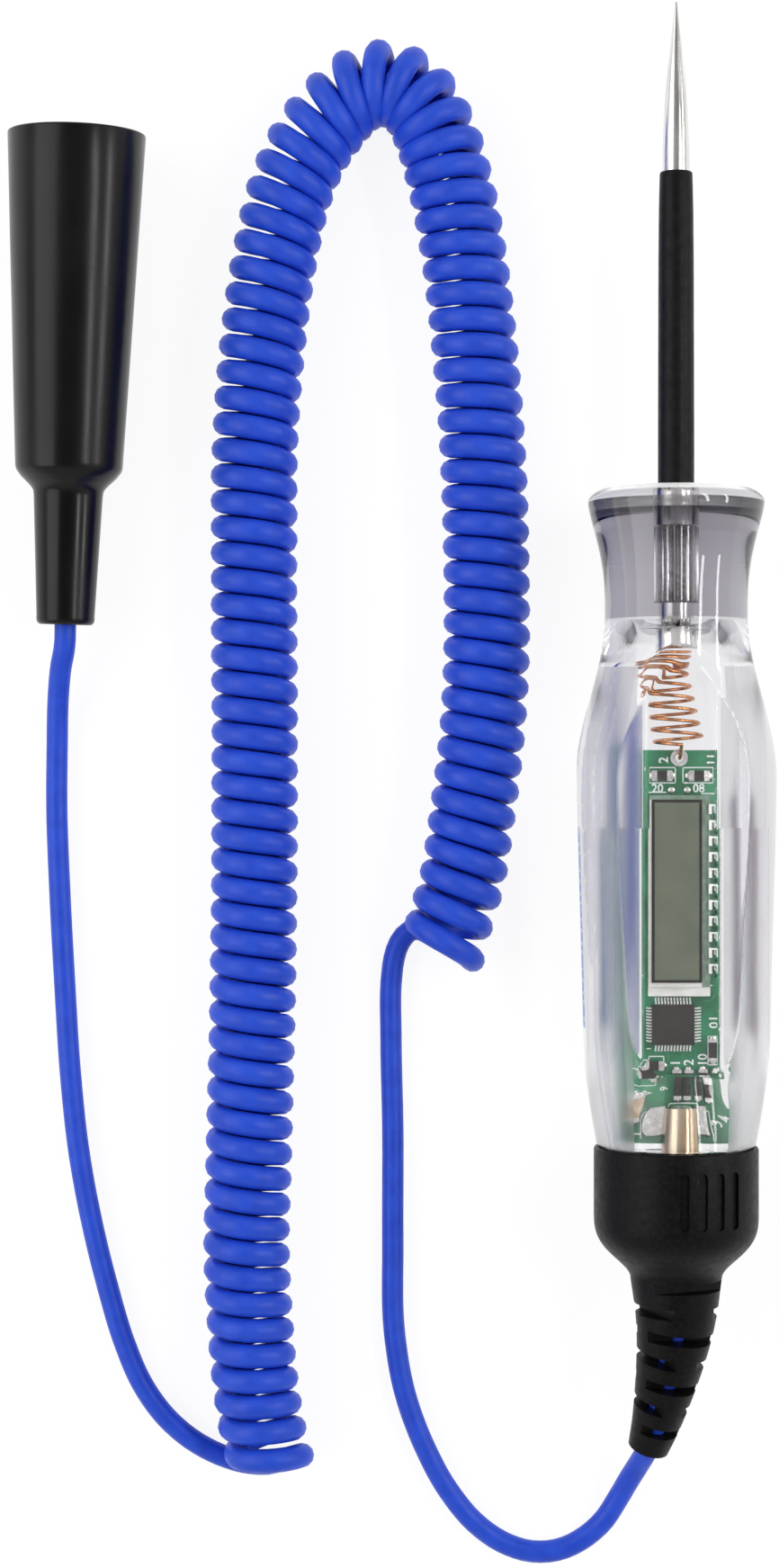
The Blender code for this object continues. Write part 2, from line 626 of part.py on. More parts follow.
def make_handle(frame, material):
    """Turns the handle, flattens its bore and cuts its four flats."""
    spigot_end = HANDLE_LENGTH + SPIGOT_LENGTH
    probe_hole = COLLAR_RADIUS + FIT_GAP
    step = BOARD_FRONT + BORE_STEP_OFFSET
    cone_end = CAVITY_STATION + CAVITY_CONE_LENGTH
    inner = [(HANDLE_LENGTH, SPIGOT_RADIUS), (spigot_end, SPIGOT_RADIUS), (spigot_end, BORE_RADIUS),
             (step, BORE_RADIUS), (step, FRONT_BORE_RADIUS), (cone_end, FRONT_BORE_RADIUS),
             (CAVITY_STATION, CAVITY_RADIUS), (CAVITY_STATION, probe_hole), (0.0, probe_hole)]
    handle = turned("handle", handle_outline() + inner, HANDLE_SEGMENTS, True, material, frame)
    combine(handle, mesh_object("bore_flat_tool", bore_flat_shapes(), parent=frame), "UNION")
    half_width = GRIP_RADIUS * 1.5
    flats = bmesh.new()
    for sign in (1, -1):
        outline = [(along, sign * height) for along, height in flat_cutter_outline()]
        add_prism(flats, outline, -half_width, half_width, ALONG)
    combine(handle, mesh_object("flat_cutter", flats, parent=frame), "DIFFERENCE")
    sides = bmesh.new()
    for sign in (1, -1):
        taper = Matrix.Rotation(-sign * SIDE_FLAT_TAPER, 4, "Z")
        place = Matrix.Translation((sign * (GRIP_RADIUS - SIDE_FLAT_DEPTH), -GRIP_STATION, 0.0)) @ taper
        near, far = -(HANDLE_LENGTH - GRIP_STATION) * 0.94, GRIP_STATION * 0.6
        outline = rectangle(min(0.0, sign * half_width), max(0.0, sign * half_width), near, far)
        add_prism(sides, outline, -half_width, half_width, place)
    combine(handle, mesh_object("side_cutter", sides, parent=frame), "DIFFERENCE")


# Probe
def make_probe(frame, material):
    """Turns the probe and notches its splined shank."""
    taper_end = -PROBE_REACH + POINT_LENGTH + SHAFT_TAPER_LENGTH
    collar_end = BOND_GAP + COLLAR_LENGTH
    spline_end = collar_end + SPLINE_LENGTH
    spline_root = SPLINE_RADIUS - SPLINE_DEPTH
    profile = [(-PROBE_REACH, 0.0), (-PROBE_REACH, NEEDLE_END_RADIUS),
               (-PROBE_REACH + POINT_LENGTH * 0.65, POINT_RADIUS * 0.76),
               (-PROBE_REACH + POINT_LENGTH, POINT_RADIUS), (taper_end, SHAFT_RADIUS),
               (BOND_GAP, SHAFT_RADIUS), (BOND_GAP, COLLAR_RADIUS), (collar_end, COLLAR_RADIUS),
               (collar_end, spline_root), (collar_end + BOND_GAP, SPLINE_RADIUS),
               (spline_end - BOND_GAP, SPLINE_RADIUS), (spline_end, PROBE_NECK_RADIUS),
               (HEAD_START, PROBE_NECK_RADIUS), (HEAD_START, HEAD_RADIUS),
               (HEAD_END - HEAD_LENGTH * 0.4, HEAD_RADIUS), (HEAD_END, HEAD_SHOULDER_RADIUS), (HEAD_END, 0.0)]
    shape = bmesh.new()
    turn_profile(shape, profile, 2 * SPLINE_COUNT, False)
    for vert in shape.verts:
        on_spline = collar_end < -vert.co.y < spline_end
        place = round(math.atan2(vert.co.z, vert.co.x) / (math.pi / SPLINE_COUNT))
        if on_spline and place % 2:
            vert.co.x *= spline_root / SPLINE_RADIUS
            vert.co.z *= spline_root / SPLINE_RADIUS
    mesh_object("probe", shape, material, frame)


def make_probe_sleeve(frame, material):
    """Makes the shrunk black sleeve over the probe's front, thinner towards its tip."""
    inner = SHAFT_RADIUS + BOND_GAP
    tip = -BOND_GAP - SLEEVE_LENGTH
    profile = [(tip, inner), (tip, inner + SLEEVE_TIP_WALL - BOND_GAP), (tip + BOND_GAP, inner + SLEEVE_TIP_WALL),
               (tip + SLEEVE_TIP_LENGTH, inner + (SLEEVE_TIP_WALL + SLEEVE_WALL) / 2),
               (-BOND_GAP, inner + SLEEVE_WALL), (-BOND_GAP, inner)]
    turned("probe_sleeve", profile, 24, True, material, frame)


# Circuit board
def pin_stations():
    """Gives the display pins' stations."""
    first = BOARD_FRONT + DISPLAY_OFFSET + PIN_OFFSET
    return [first + index * PIN_PITCH for index in range(PIN_COUNT)]


def pin_side():
    """Gives the sideways place of the pins' legs."""
    return DISPLAY_LEFT + REAR_GLASS_WIDTH + FIT_GAP + BEAD_WIDTH + PIN_WIDTH / 2


def make_board(frame, material):
    """Makes the board with its eyelet hole and pin holes."""
    outline = rectangle(-BOARD_WIDTH / 2, BOARD_WIDTH / 2, -BOARD_FRONT - BOARD_LENGTH, -BOARD_FRONT)
    board = prism("circuit_board", outline, BOARD_BOTTOM, BOARD_TOP, material, frame)
    holes = bmesh.new()
    low, high = BOARD_BOTTOM - BOARD_THICKNESS, BOARD_TOP + BOARD_THICKNESS
    eyelet = (EYELET_SIDE, -BOARD_FRONT - EYELET_OFFSET)
    add_prism(holes, circle(EYELET_RADIUS + FIT_GAP, 20, eyelet), low, high)
    for station in pin_stations():
        add_prism(holes, circle(PIN_HOLE_RADIUS, 10, (pin_side(), -station)), low, high)
    combine(board, mesh_object("hole_cutter", holes, parent=frame), "DIFFERENCE")


def make_eyelet(frame, material):
    """Makes the tinned eyelet in the board's front hole."""
    top = BOARD_TOP + BOND_GAP
    profile = [(-top, EYELET_FLANGE_RADIUS), (-top - EYELET_FLANGE, EYELET_FLANGE_RADIUS),
               (-top - EYELET_FLANGE, EYELET_BORE), (-BOARD_BOTTOM, EYELET_BORE), (-BOARD_BOTTOM, EYELET_RADIUS),
               (-top, EYELET_RADIUS)]
    eyelet = turned("probe_eyelet", profile, 20, True, material, frame)
    eyelet.rotation_euler = (math.radians(90.0), 0.0, 0.0)
    eyelet.location = (EYELET_SIDE, -BOARD_FRONT - EYELET_OFFSET, 0.0)


def make_contact_spring(frame, material):
    """Winds the wire from the probe's head back to the eyelet."""
    closed_length = CLOSED_TURNS * CLOSED_PITCH
    points = []
    total = (CLOSED_TURNS + OPEN_TURNS) * SPRING_POINTS_PER_TURN
    for step in range(total + 1):
        turns = step / SPRING_POINTS_PER_TURN
        back = min(turns, CLOSED_TURNS) * CLOSED_PITCH + max(0.0, turns - CLOSED_TURNS) * OPEN_PITCH
        lean = max(0.0, back - closed_length) / (OPEN_TURNS * OPEN_PITCH)
        side = SPRING_FRONT_SIDE + (EYELET_SIDE - SPRING_FRONT_SIDE) * lean
        angle = math.tau * turns
        points.append(Vector((side + SPRING_RADIUS * math.sin(angle), -SPRING_START - back,
                              SPRING_HEIGHT + SPRING_RADIUS * math.cos(angle))))
    landing = -BOARD_FRONT - EYELET_OFFSET
    above = BOARD_TOP + EYELET_FLANGE + BOND_GAP
    points.append(Vector((EYELET_SIDE, landing + 1.2 * MM, above + 2.6 * MM)))
    points.append(Vector((EYELET_SIDE, landing, above + 1.4 * MM)))
    points.append(Vector((EYELET_SIDE, landing, BOARD_TOP - BOND_GAP)))
    tube("contact_spring", points, COIL_WIRE_RADIUS, 1, material, frame)


# Display
def display_layer(name, width, side, length, offset, low, thickness, material, frame):
    """Makes one flat layer of the display and gives its top."""
    front = BOARD_FRONT + DISPLAY_OFFSET + offset
    outline = rectangle(side - width / 2, side + width / 2, -front - length, -front)
    prism(name, outline, low, low + thickness, material, frame)
    return low + thickness


def make_display(frame, materials):
    """Stacks the reflector, two glasses and the polariser."""
    window_offset = WINDOW_MARGIN
    low = BOARD_TOP + FIT_GAP
    top = display_layer("lcd_reflector", WINDOW_WIDTH, FRONT_GLASS_SIDE, WINDOW_LENGTH, window_offset, low,
                        FILM_THICKNESS, materials["film"], frame)
    glass_top = display_layer("lcd_rear_glass", REAR_GLASS_WIDTH, DISPLAY_SIDE, REAR_GLASS_LENGTH, 0.0,
                              top + BOND_GAP, GLASS_THICKNESS, materials["display_glass"], frame)
    top = display_layer("lcd_front_glass", FRONT_GLASS_WIDTH, FRONT_GLASS_SIDE, FRONT_GLASS_LENGTH, 0.0,
                        glass_top + BOND_GAP, GLASS_THICKNESS, materials["display_glass"], frame)
    display_layer("lcd_polariser", WINDOW_WIDTH, FRONT_GLASS_SIDE, WINDOW_LENGTH, window_offset,
                  top + BOND_GAP, FILM_THICKNESS, materials["display_window"], frame)
    return glass_top


def make_pin_row(frame, material, glass_top):
    """Makes the bead along the glass's edge with its clip-on pins."""
    edge = DISPLAY_LEFT + REAR_GLASS_WIDTH
    stations = pin_stations()
    near, far = stations[0] - PIN_WIDTH * 2, stations[-1] + PIN_WIDTH * 2
    bead_left = edge + FIT_GAP
    bead = prism("lcd_pin_row", rectangle(bead_left, bead_left + BEAD_WIDTH, -far, -near),
                 BOARD_TOP + FIT_GAP, glass_top + BOND_GAP * 2 + PIN_WIDTH, material, frame)
    arm_low = glass_top + BOND_GAP
    right = pin_side() + PIN_WIDTH / 2
    left = pin_side() - PIN_WIDTH / 2
    outline = [(right - PIN_ARM, arm_low), (left, arm_low), (left, BOARD_BOTTOM - PIN_TAIL),
               (right, BOARD_BOTTOM - PIN_TAIL), (right, arm_low + PIN_WIDTH * 0.7),
               (right - PIN_ARM, arm_low + PIN_WIDTH * 0.7)]
    pins = bmesh.new()
    for station in stations:
        add_prism(pins, outline, station - PIN_WIDTH / 2, station + PIN_WIDTH / 2, ACROSS)
    combine(bead, mesh_object("pin_tool", pins, parent=frame), "UNION")


# Chips
def make_microcontroller(frame, material):
    """Makes the flat chip with leads on its four sides."""
    low = BOARD_TOP + CHIP_STANDOFF
    high = low + CHIP_HEIGHT
    half = CHIP_SIZE / 2
    centre = Matrix.Translation((CHIP_SIDE, -BOARD_FRONT - CHIP_OFFSET, 0.0))
    body = prism("microcontroller", rectangle(-half, half, -half, half), low, high, material, frame, centre)
    foot = BOARD_TOP + BOND_GAP
    shoulder = low + CHIP_HEIGHT * 0.45
    reach = LEAD_SPAN / 2
    outline = [(half - LEAD_ROOT, shoulder), (half + 0.3 * MM, shoulder), (half + 0.45 * MM, foot),
               (reach, foot), (reach, foot + LEAD_THICKNESS), (half + 0.58 * MM, foot + LEAD_THICKNESS),
               (half + 0.43 * MM, shoulder + LEAD_THICKNESS), (half - LEAD_ROOT, shoulder + LEAD_THICKNESS)]
    leads = bmesh.new()
    for side in range(4):
        turn = centre @ Matrix.Rotation(math.radians(90.0 * side), 4, "Z") @ ACROSS
        for index in range(LEADS_PER_SIDE):
            middle = (index - (LEADS_PER_SIDE - 1) / 2) * LEAD_PITCH
            add_prism(leads, outline, middle - LEAD_WIDTH / 2, middle + LEAD_WIDTH / 2, turn)
    combine(body, mesh_object("lead_tool", leads, parent=frame), "UNION")


def make_small_chip(frame, chip, material):
    """Makes a two-ended chip with slightly wider terminals."""
    name, side, offset, length, width, height, turned_sideways = chip
    half, wide = length / 2, width / 2
    narrow, inner = wide - TERMINAL_STEP, half - TERMINAL_LENGTH
    outline = [(-wide, -half), (wide, -half), (wide, -inner), (narrow, -inner), (narrow, inner), (wide, inner),
               (wide, half), (-wide, half), (-wide, inner), (-narrow, inner), (-narrow, -inner), (-wide, -inner)]
    place = Matrix.Translation((side, -BOARD_FRONT - offset, 0.0))
    if turned_sideways:
        place = place @ Matrix.Rotation(math.radians(90.0), 4, "Z")
    low = BOARD_TOP + BOND_GAP
    prism(name, outline, low, low + height, material, frame, place)


# Ground contact, terminal and conductor
def make_ground_contact(frame, material):
    """Forms the arched sheet clip with its two soldered wings."""
    inner = TERMINAL_RADIUS + FIT_GAP
    outer = inner + CONTACT_SHEET
    low = BOARD_TOP + BOND_GAP - CONTACT_HEIGHT
    steps = 14
    arch = [(outer * math.cos(math.pi * step / steps), outer * math.sin(math.pi * step / steps))
            for step in range(steps + 1)]
    inside = [(inner * math.cos(math.pi * step / steps), inner * math.sin(math.pi * step / steps))
              for step in range(steps, -1, -1)]
    outline = [(outer, low)] + arch + [(-outer, low), (-inner, low)] + inside + [(inner, low)]
    start = BOARD_FRONT + CONTACT_START
    place = Matrix.Translation((CONTACT_SIDE, 0.0, CONTACT_HEIGHT)) @ ACROSS
    contact = prism("ground_contact", outline, start, start + CONTACT_LENGTH, material, frame, place)
    wings = bmesh.new()
    overlap = inner + CONTACT_SHEET / 2
    for left, right in ((-WING_REACH_LEFT, -overlap), (overlap, WING_REACH_RIGHT)):
        add_prism(wings, rectangle(left, right, low, low + CONTACT_SHEET), start, start + WING_LENGTH, place)
    combine(contact, mesh_object("wing_tool", wings, parent=frame), "UNION")


def make_ground_terminal(frame, material):
    """Turns the cord's terminal pin, bored for its conductor."""
    start = BOARD_FRONT + CONTACT_START
    end = start + TERMINAL_PIN_LENGTH
    bore = CONDUCTOR_RADIUS + FIT_GAP
    depth = end - TERMINAL_SOCKET_DEPTH
    chamfer = TERMINAL_RADIUS * 0.25
    profile = [(start, 0.0), (start, TERMINAL_RADIUS - chamfer), (start + chamfer, TERMINAL_RADIUS),
               (end, TERMINAL_RADIUS), (end, bore), (depth, bore), (depth, 0.0)]
    pin = turned("ground_terminal", profile, 20, False, material, frame)
    pin.location = (CONTACT_SIDE, 0.0, CONTACT_HEIGHT)
    return depth, end


def make_cord_conductor(frame, material, socket, jacket):
    """Bends the bare wire from the terminal's socket to the cord's jacket."""
    depth, end = socket
    route = [(CONTACT_SIDE, -depth - FIT_GAP, CONTACT_HEIGHT), (CONTACT_SIDE, -end, CONTACT_HEIGHT),
             (CONTACT_SIDE * 0.5, -(end + jacket) / 2, CONTACT_HEIGHT * 0.5), (0.0, -jacket + 2.6 * MM, 0.0),
             (0.0, -jacket + FIT_GAP, 0.0)]
    tube("cord_conductor", smooth_route(route, 1.4 * MM), CONDUCTOR_RADIUS, 1, material, frame)


# Rear cap and strain relief
def relief_path():
    """Gives the relief's even-spaced centreline, local to the tester's axis."""
    route = [(side, -RELIEF_ROOT - back, height) for side, back, height in RELIEF_ROUTE]
    return smooth_route(route, RELIEF_ROUTE[-1][1] / RELIEF_RINGS)


def path_frames(points):
    """Pairs each point with the matrix that stands across the path there."""
    frames = []
    for index, point in enumerate(points):
        ahead = points[min(index + 1, len(points) - 1)] - points[max(index - 1, 0)]
        back = -ahead.normalized()
        side = back.cross(Vector((0.0, 0.0, 1.0))).normalized()
        up = side.cross(back)
        turn = Matrix((side, back, up)).transposed().to_4x4()
        frames.append(Matrix.Translation(point) @ turn)
    return frames


def cap_rings():
    """Gives the cap's outer rings and inner rings as (matrix, radius)."""
    shoulder = CAP_RIM + CAP_GRIP_LENGTH
    outline = [(CAP_RIM, CAP_RADIUS - BOND_GAP), (CAP_RIM + BOND_GAP, CAP_RADIUS)]
    outline += ease((shoulder, CAP_RADIUS), (RELIEF_ROOT, RELIEF_ROOT_RADIUS), 8, 0.58)[:-1]
    hollow = [(FUNNEL_END, CORD_BORE_RADIUS), (SOCKET_END + CAP_CHAMBER_LENGTH, CAP_CHAMBER_RADIUS),
              (SOCKET_END, CAP_CHAMBER_RADIUS), (SOCKET_END, SPIGOT_RADIUS + FIT_GAP),
              (CAP_RIM, SPIGOT_RADIUS + FIT_GAP)]
    frames = path_frames(relief_path())
    outer = [(straight_frame(station), radius) for station, radius in outline]
    inner = []
    for index, frame in enumerate(frames):
        share = index / (len(frames) - 1)
        outer.append((frame, RELIEF_ROOT_RADIUS + (RELIEF_TIP_RADIUS - RELIEF_ROOT_RADIUS) * share))
        inner.append((frame, CORD_BORE_RADIUS))
    inner = inner[::-1] + [(straight_frame(station), radius) for station, radius in hollow]
    return outer, inner


def straight_frame(station):
    """Gives the matrix of a ring on the tester's axis."""
    return path_frames([Vector((0.0, -station + MM, 0.0)), Vector((0.0, -station, 0.0)),
                        Vector((0.0, -station - MM, 0.0))])[1]


def make_end_cap(frame, material):
    """Sweeps the cap and its relief as one shell, then cuts grooves and slots."""
    shape = bmesh.new()
    outer, inner = cap_rings()
    loops = []
    for place, radius in outer + inner:
        ring = [shape.verts.new(place @ Vector((x, 0.0, z))) for x, z in circle(radius, CAP_SEGMENTS)]
        loops.append(ring)
    for near, far in zip(loops, loops[1:] + loops[:1]):
        for index in range(CAP_SEGMENTS):
            following = (index + 1) % CAP_SEGMENTS
            shape.faces.new((near[index], near[following], far[following], far[index]))
    cap = mesh_object("end_cap", shape, material, frame)
    combine(cap, mesh_object("groove_cutter", groove_shapes(), parent=frame), "DIFFERENCE")
    combine(cap, mesh_object("slot_cutter", slot_shapes(), parent=frame), "DIFFERENCE")


def groove_shapes():
    """Makes the cutters of the round-ended grip grooves, on both sides of the cap."""
    shape = bmesh.new()
    middle = -CAP_RIM - GRIP_GROOVE_INSET - GRIP_GROOVE_LENGTH / 2
    floor = CAP_RADIUS - GRIP_GROOVE_DEPTH
    outline = stadium(GRIP_GROOVE_LENGTH, GRIP_GROOVE_WIDTH)
    for half_turn in (0.0, math.pi):
        for index in range(GRIP_GROOVES):
            angle = GRIP_GROOVE_CENTRE + (index - (GRIP_GROOVES - 1) / 2) * GRIP_GROOVE_PITCH + half_turn
            place = Matrix.Translation((0.0, middle, 0.0)) @ Matrix.Rotation(angle, 4, "Y")
            add_prism(shape, outline, floor, CAP_RADIUS + GRIP_GROOVE_DEPTH, place)
    return shape


def slot_shapes():
    """Makes the cutters of the relief's slots, in pairs that take turns about its centreline."""
    shape = bmesh.new()
    path = relief_path()
    lengths = RELIEF_ROUTE[-1][1] / RELIEF_RINGS
    frames = path_frames(path)
    reach = RELIEF_ROOT_RADIUS * 1.3
    for index in range(SLOT_COUNT):
        position = (SLOT_START + index * SLOT_PITCH) / lengths
        base = min(int(position), len(frames) - 2)
        place = frames[base].lerp(frames[base + 1], position - base)
        turn = SLOT_TURN + (math.pi / 2 if index % 2 else 0.0)
        floor = SLOT_FIRST_FLOOR if index < 2 else SLOT_FLOOR
        for half_turn in (0.0, math.pi):
            turned_place = place @ Matrix.Rotation(turn + half_turn, 4, "Y")
            outline = rectangle(-reach, reach, -SLOT_WIDTH / 2, SLOT_WIDTH / 2)
            add_prism(shape, outline, floor, reach, turned_place)
    return shape


# Cord
def coil_path():
    """Gives the even-spaced axis of the curly part."""
    return smooth_route([(x, y, COIL_HEIGHT) for x, y in COIL_ROUTE], COIL_STEP)


def leave_coil(end, before):
    """Gives two points straight out of the coil's end face, level with the surface."""
    away = (end - before).normalized()
    drop = Vector((0.0, 0.0, CORD_HEIGHT - COIL_HEIGHT))
    return [end + away * FIT_GAP + drop, end + away * COIL_STAND_OFF + drop]


def make_cord(material, tester, clip, jacket_start, jacket_end):
    """Makes the two free stretches and the curly part's outer shape."""
    coil = coil_path()
    tube("cord_coil", coil, COIL_RADIUS, 4, material)
    inside = [(0.0, -jacket_start, 0.0), (0.0, (-jacket_start - RELIEF_ROOT) / 2, 0.0)]
    relief = [(side, -RELIEF_ROOT - back, height) for side, back, height in RELIEF_ROUTE]
    route = [tester @ Vector(point) for point in inside + relief]
    face, clear = leave_coil(coil[0], coil[1])
    route += [Vector(point) for point in HANDLE_TAIL_ROUTE] + [clear]
    tube("cord_handle_tail", smooth_route(route, CORD_STEP) + [face], CORD_RADIUS, 2, material)
    face, clear = leave_coil(coil[-1], coil[-2])
    route = [clear] + [Vector(point) for point in CLIP_TAIL_ROUTE]
    for distance in (BOOT_LENGTH + 3.0 * MM, BOOT_LENGTH, BOOT_LENGTH - 3.0 * MM,
                     (BOOT_LENGTH + jacket_end) / 2, jacket_end):
        route.append(clip @ Vector((0.0, -distance, 0.0)))
    tube("cord_clip_tail", [face] + smooth_route(route, CORD_STEP), CORD_RADIUS, 2, material)


# Clip boot
def make_boot(frame, material):
    """Turns the hollow boot: cone, shoulder and neck."""
    shoulder = BOOT_CONE_LENGTH + BOOT_SHOULDER_LENGTH
    inside_cone = BOOT_CONE_LENGTH - BOOT_WALL
    inside_neck = shoulder + BOOT_WALL
    profile = [(0.0, BOOT_MOUTH_RADIUS - BOOT_WALL), (0.0, BOOT_MOUTH_RADIUS),
               (BOOT_CONE_LENGTH, BOOT_SHOULDER_RADIUS), (shoulder, BOOT_NECK_ROOT_RADIUS),
               (BOOT_LENGTH - BOOT_EDGE, BOOT_NECK_TIP_RADIUS),
               (BOOT_LENGTH, BOOT_NECK_TIP_RADIUS - BOOT_EDGE), (BOOT_LENGTH, CORD_BORE_RADIUS),
               (inside_neck + BOOT_WALL, CORD_BORE_RADIUS), (inside_neck, BOOT_NECK_ROOT_RADIUS - BOOT_WALL),
               (shoulder - BOOT_WALL, BOOT_NECK_ROOT_RADIUS - BOOT_WALL),
               (inside_cone, BOOT_SHOULDER_RADIUS - BOOT_WALL)]
    turned("clip_boot", profile, BOOT_SEGMENTS, True, material, frame)


# Spring clip
def teeth(start, sign):
    """Gives the zigzag of a jaw's toothed edge, going back."""
    points = []
    for index in range(TOOTH_COUNT):
        along = start + index * TOOTH_PITCH
        points.append((along, sign * FIT_GAP / 2))
        points.append((along + TOOTH_PITCH / 2, sign * (FIT_GAP / 2 + TOOTH_DEPTH)))
    points.append((start + TOOTH_COUNT * TOOTH_PITCH, sign * FIT_GAP / 2))
    return points


def ear_arc(sign, steps=8):
    """Gives an ear's round edge about the pivot, going back, above or below it."""
    points = []
    for step in range(steps + 1):
        angle = math.pi * step / steps
        points.append((PIVOT_DISTANCE - EAR_RADIUS * math.cos(angle), sign * EAR_RADIUS * math.sin(angle)))
    return points


def make_fixed_jaw(frame, material):
    """Makes the lower jaw: an open channel with teeth, ears and a crimp barrel."""
    tip, tail = CLIP_RECESS, CLIP_RECESS + FIXED_JAW_LENGTH
    bottom, half = -FIXED_JAW_DEPTH, FIXED_JAW_WIDTH / 2
    edge = [(tip, -FIT_GAP / 2)] + teeth(tip + JAW_NOSE_LENGTH, -1) + ear_arc(1)
    wall = edge + [(PIVOT_DISTANCE + EAR_RADIUS * 2, -EAR_RADIUS), (tail, -EAR_RADIUS), (tail, bottom),
                   (PIVOT_DISTANCE * 0.6, bottom), (tip, -JAW_NOSE_HEIGHT)]
    jaw = prism("clip_fixed_jaw", wall, -half, half, material, frame, ALONG)
    start = tip + JAW_NOSE_LENGTH
    floor = [(start, EAR_RADIUS * 2), (start, -JAW_NOSE_HEIGHT + CLIP_SHEET),
             (PIVOT_DISTANCE * 0.6, bottom + CLIP_SHEET), (tail + CLIP_SHEET, bottom + CLIP_SHEET),
             (tail + CLIP_SHEET, EAR_RADIUS * 2)]
    channel = prism("channel_cutter", floor, -half + CLIP_SHEET, half - CLIP_SHEET, None, frame, ALONG)
    combine(jaw, channel, "DIFFERENCE")
    ramp = [(tail - CLIP_SHEET, bottom), (tail, bottom), (BARREL_DISTANCE + CLIP_SHEET, -BARREL_RADIUS),
            (BARREL_DISTANCE + BARREL_LENGTH / 2, -BARREL_RADIUS),
            (BARREL_DISTANCE + BARREL_LENGTH / 2, -BARREL_RADIUS + CLIP_SHEET),
            (BARREL_DISTANCE, -BARREL_RADIUS + CLIP_SHEET), (tail - CLIP_SHEET, bottom + CLIP_SHEET)]
    link = prism("ramp_tool", ramp, -BARREL_BORE, BARREL_BORE, None, frame, ALONG)
    combine(jaw, link, "UNION")
    barrel_end = BARREL_DISTANCE + BARREL_LENGTH
    barrel = turned("barrel_tool", [(BARREL_DISTANCE, 0.0), (BARREL_DISTANCE, BARREL_RADIUS),
                                    (barrel_end, BARREL_RADIUS), (barrel_end, 0.0)], 20, False, None, frame)
    combine(jaw, barrel, "UNION")
    near, far = BARREL_DISTANCE - CLIP_SHEET, barrel_end + CLIP_SHEET
    bore = turned("barrel_cutter", [(near, 0.0), (near, BARREL_BORE), (far, BARREL_BORE), (far, 0.0)],
                  16, False, None, frame)
    combine(jaw, bore, "DIFFERENCE")
    combine(jaw, pivot_cutter("fixed_pivot_cutter", frame, PIVOT_DISTANCE), "DIFFERENCE")


def pivot_cutter(name, parent, distance):
    """Makes the cutter of a pivot hole."""
    outline = circle(PIVOT_RADIUS + PIVOT_CLEARANCE, 16, (distance, 0.0))
    return prism(name, outline, -FIXED_JAW_WIDTH, FIXED_JAW_WIDTH, None, parent, ALONG)


def moving_half_width():
    """Gives half the moving jaw's width, nested in the fixed jaw."""
    return FIXED_JAW_WIDTH / 2 - CLIP_SHEET - JAW_SIDE_GAP


def make_moving_jaw(pivot, material):
    """Makes the upper jaw: a channel open below, with teeth, ears and its lever."""
    tip, half = CLIP_RECESS - PIVOT_DISTANCE, moving_half_width()
    high = MOVING_JAW_HEIGHT
    toothed = [(along - PIVOT_DISTANCE, height) for along, height in teeth(CLIP_RECESS + JAW_NOSE_LENGTH, 1)]
    ear = [(along - PIVOT_DISTANCE, height) for along, height in ear_arc(-1)]
    lever_end = (LEVER_LENGTH, high + LEVER_RISE)
    wall = [(tip, FIT_GAP / 2)] + toothed + ear + [
        (EAR_RADIUS * 1.3, EAR_RADIUS * 0.5), (LEVER_LENGTH, high + LEVER_RISE - CLIP_SHEET * 1.6), lever_end,
        (EAR_RADIUS, high), (-PIVOT_DISTANCE * 0.44, high), (tip, JAW_NOSE_HEIGHT)]
    jaw = prism("clip_moving_jaw", wall, -half, half, material, pivot, ALONG)
    start = tip + JAW_NOSE_LENGTH
    below = -EAR_RADIUS * 1.5
    inside = [(start, below), (LEVER_LENGTH + CLIP_SHEET, below),
              (LEVER_LENGTH + CLIP_SHEET, high + LEVER_RISE - CLIP_SHEET), (EAR_RADIUS, high - CLIP_SHEET),
              (-PIVOT_DISTANCE * 0.44, high - CLIP_SHEET), (start, JAW_NOSE_HEIGHT - CLIP_SHEET)]
    channel = prism("moving_channel_cutter", inside, -half + CLIP_SHEET, half - CLIP_SHEET, None, pivot, ALONG)
    combine(jaw, channel, "DIFFERENCE")
    combine(jaw, pivot_cutter("moving_pivot_cutter", pivot, 0.0), "DIFFERENCE")


def make_pivot_pin(pivot, material):
    """Turns the rivet across both jaws."""
    grip = FIXED_JAW_WIDTH / 2 + PIVOT_CLEARANCE
    end = grip + PIVOT_HEAD_LENGTH
    profile = [(-end, 0.0), (-end, PIVOT_HEAD_RADIUS), (-grip, PIVOT_HEAD_RADIUS), (-grip, PIVOT_RADIUS),
               (grip, PIVOT_RADIUS), (grip, PIVOT_HEAD_RADIUS), (end, PIVOT_HEAD_RADIUS), (end, 0.0)]
    pin = turned("clip_pivot_pin", profile, 16, False, material, pivot)
    pin.rotation_euler = (0.0, 0.0, math.radians(90.0))


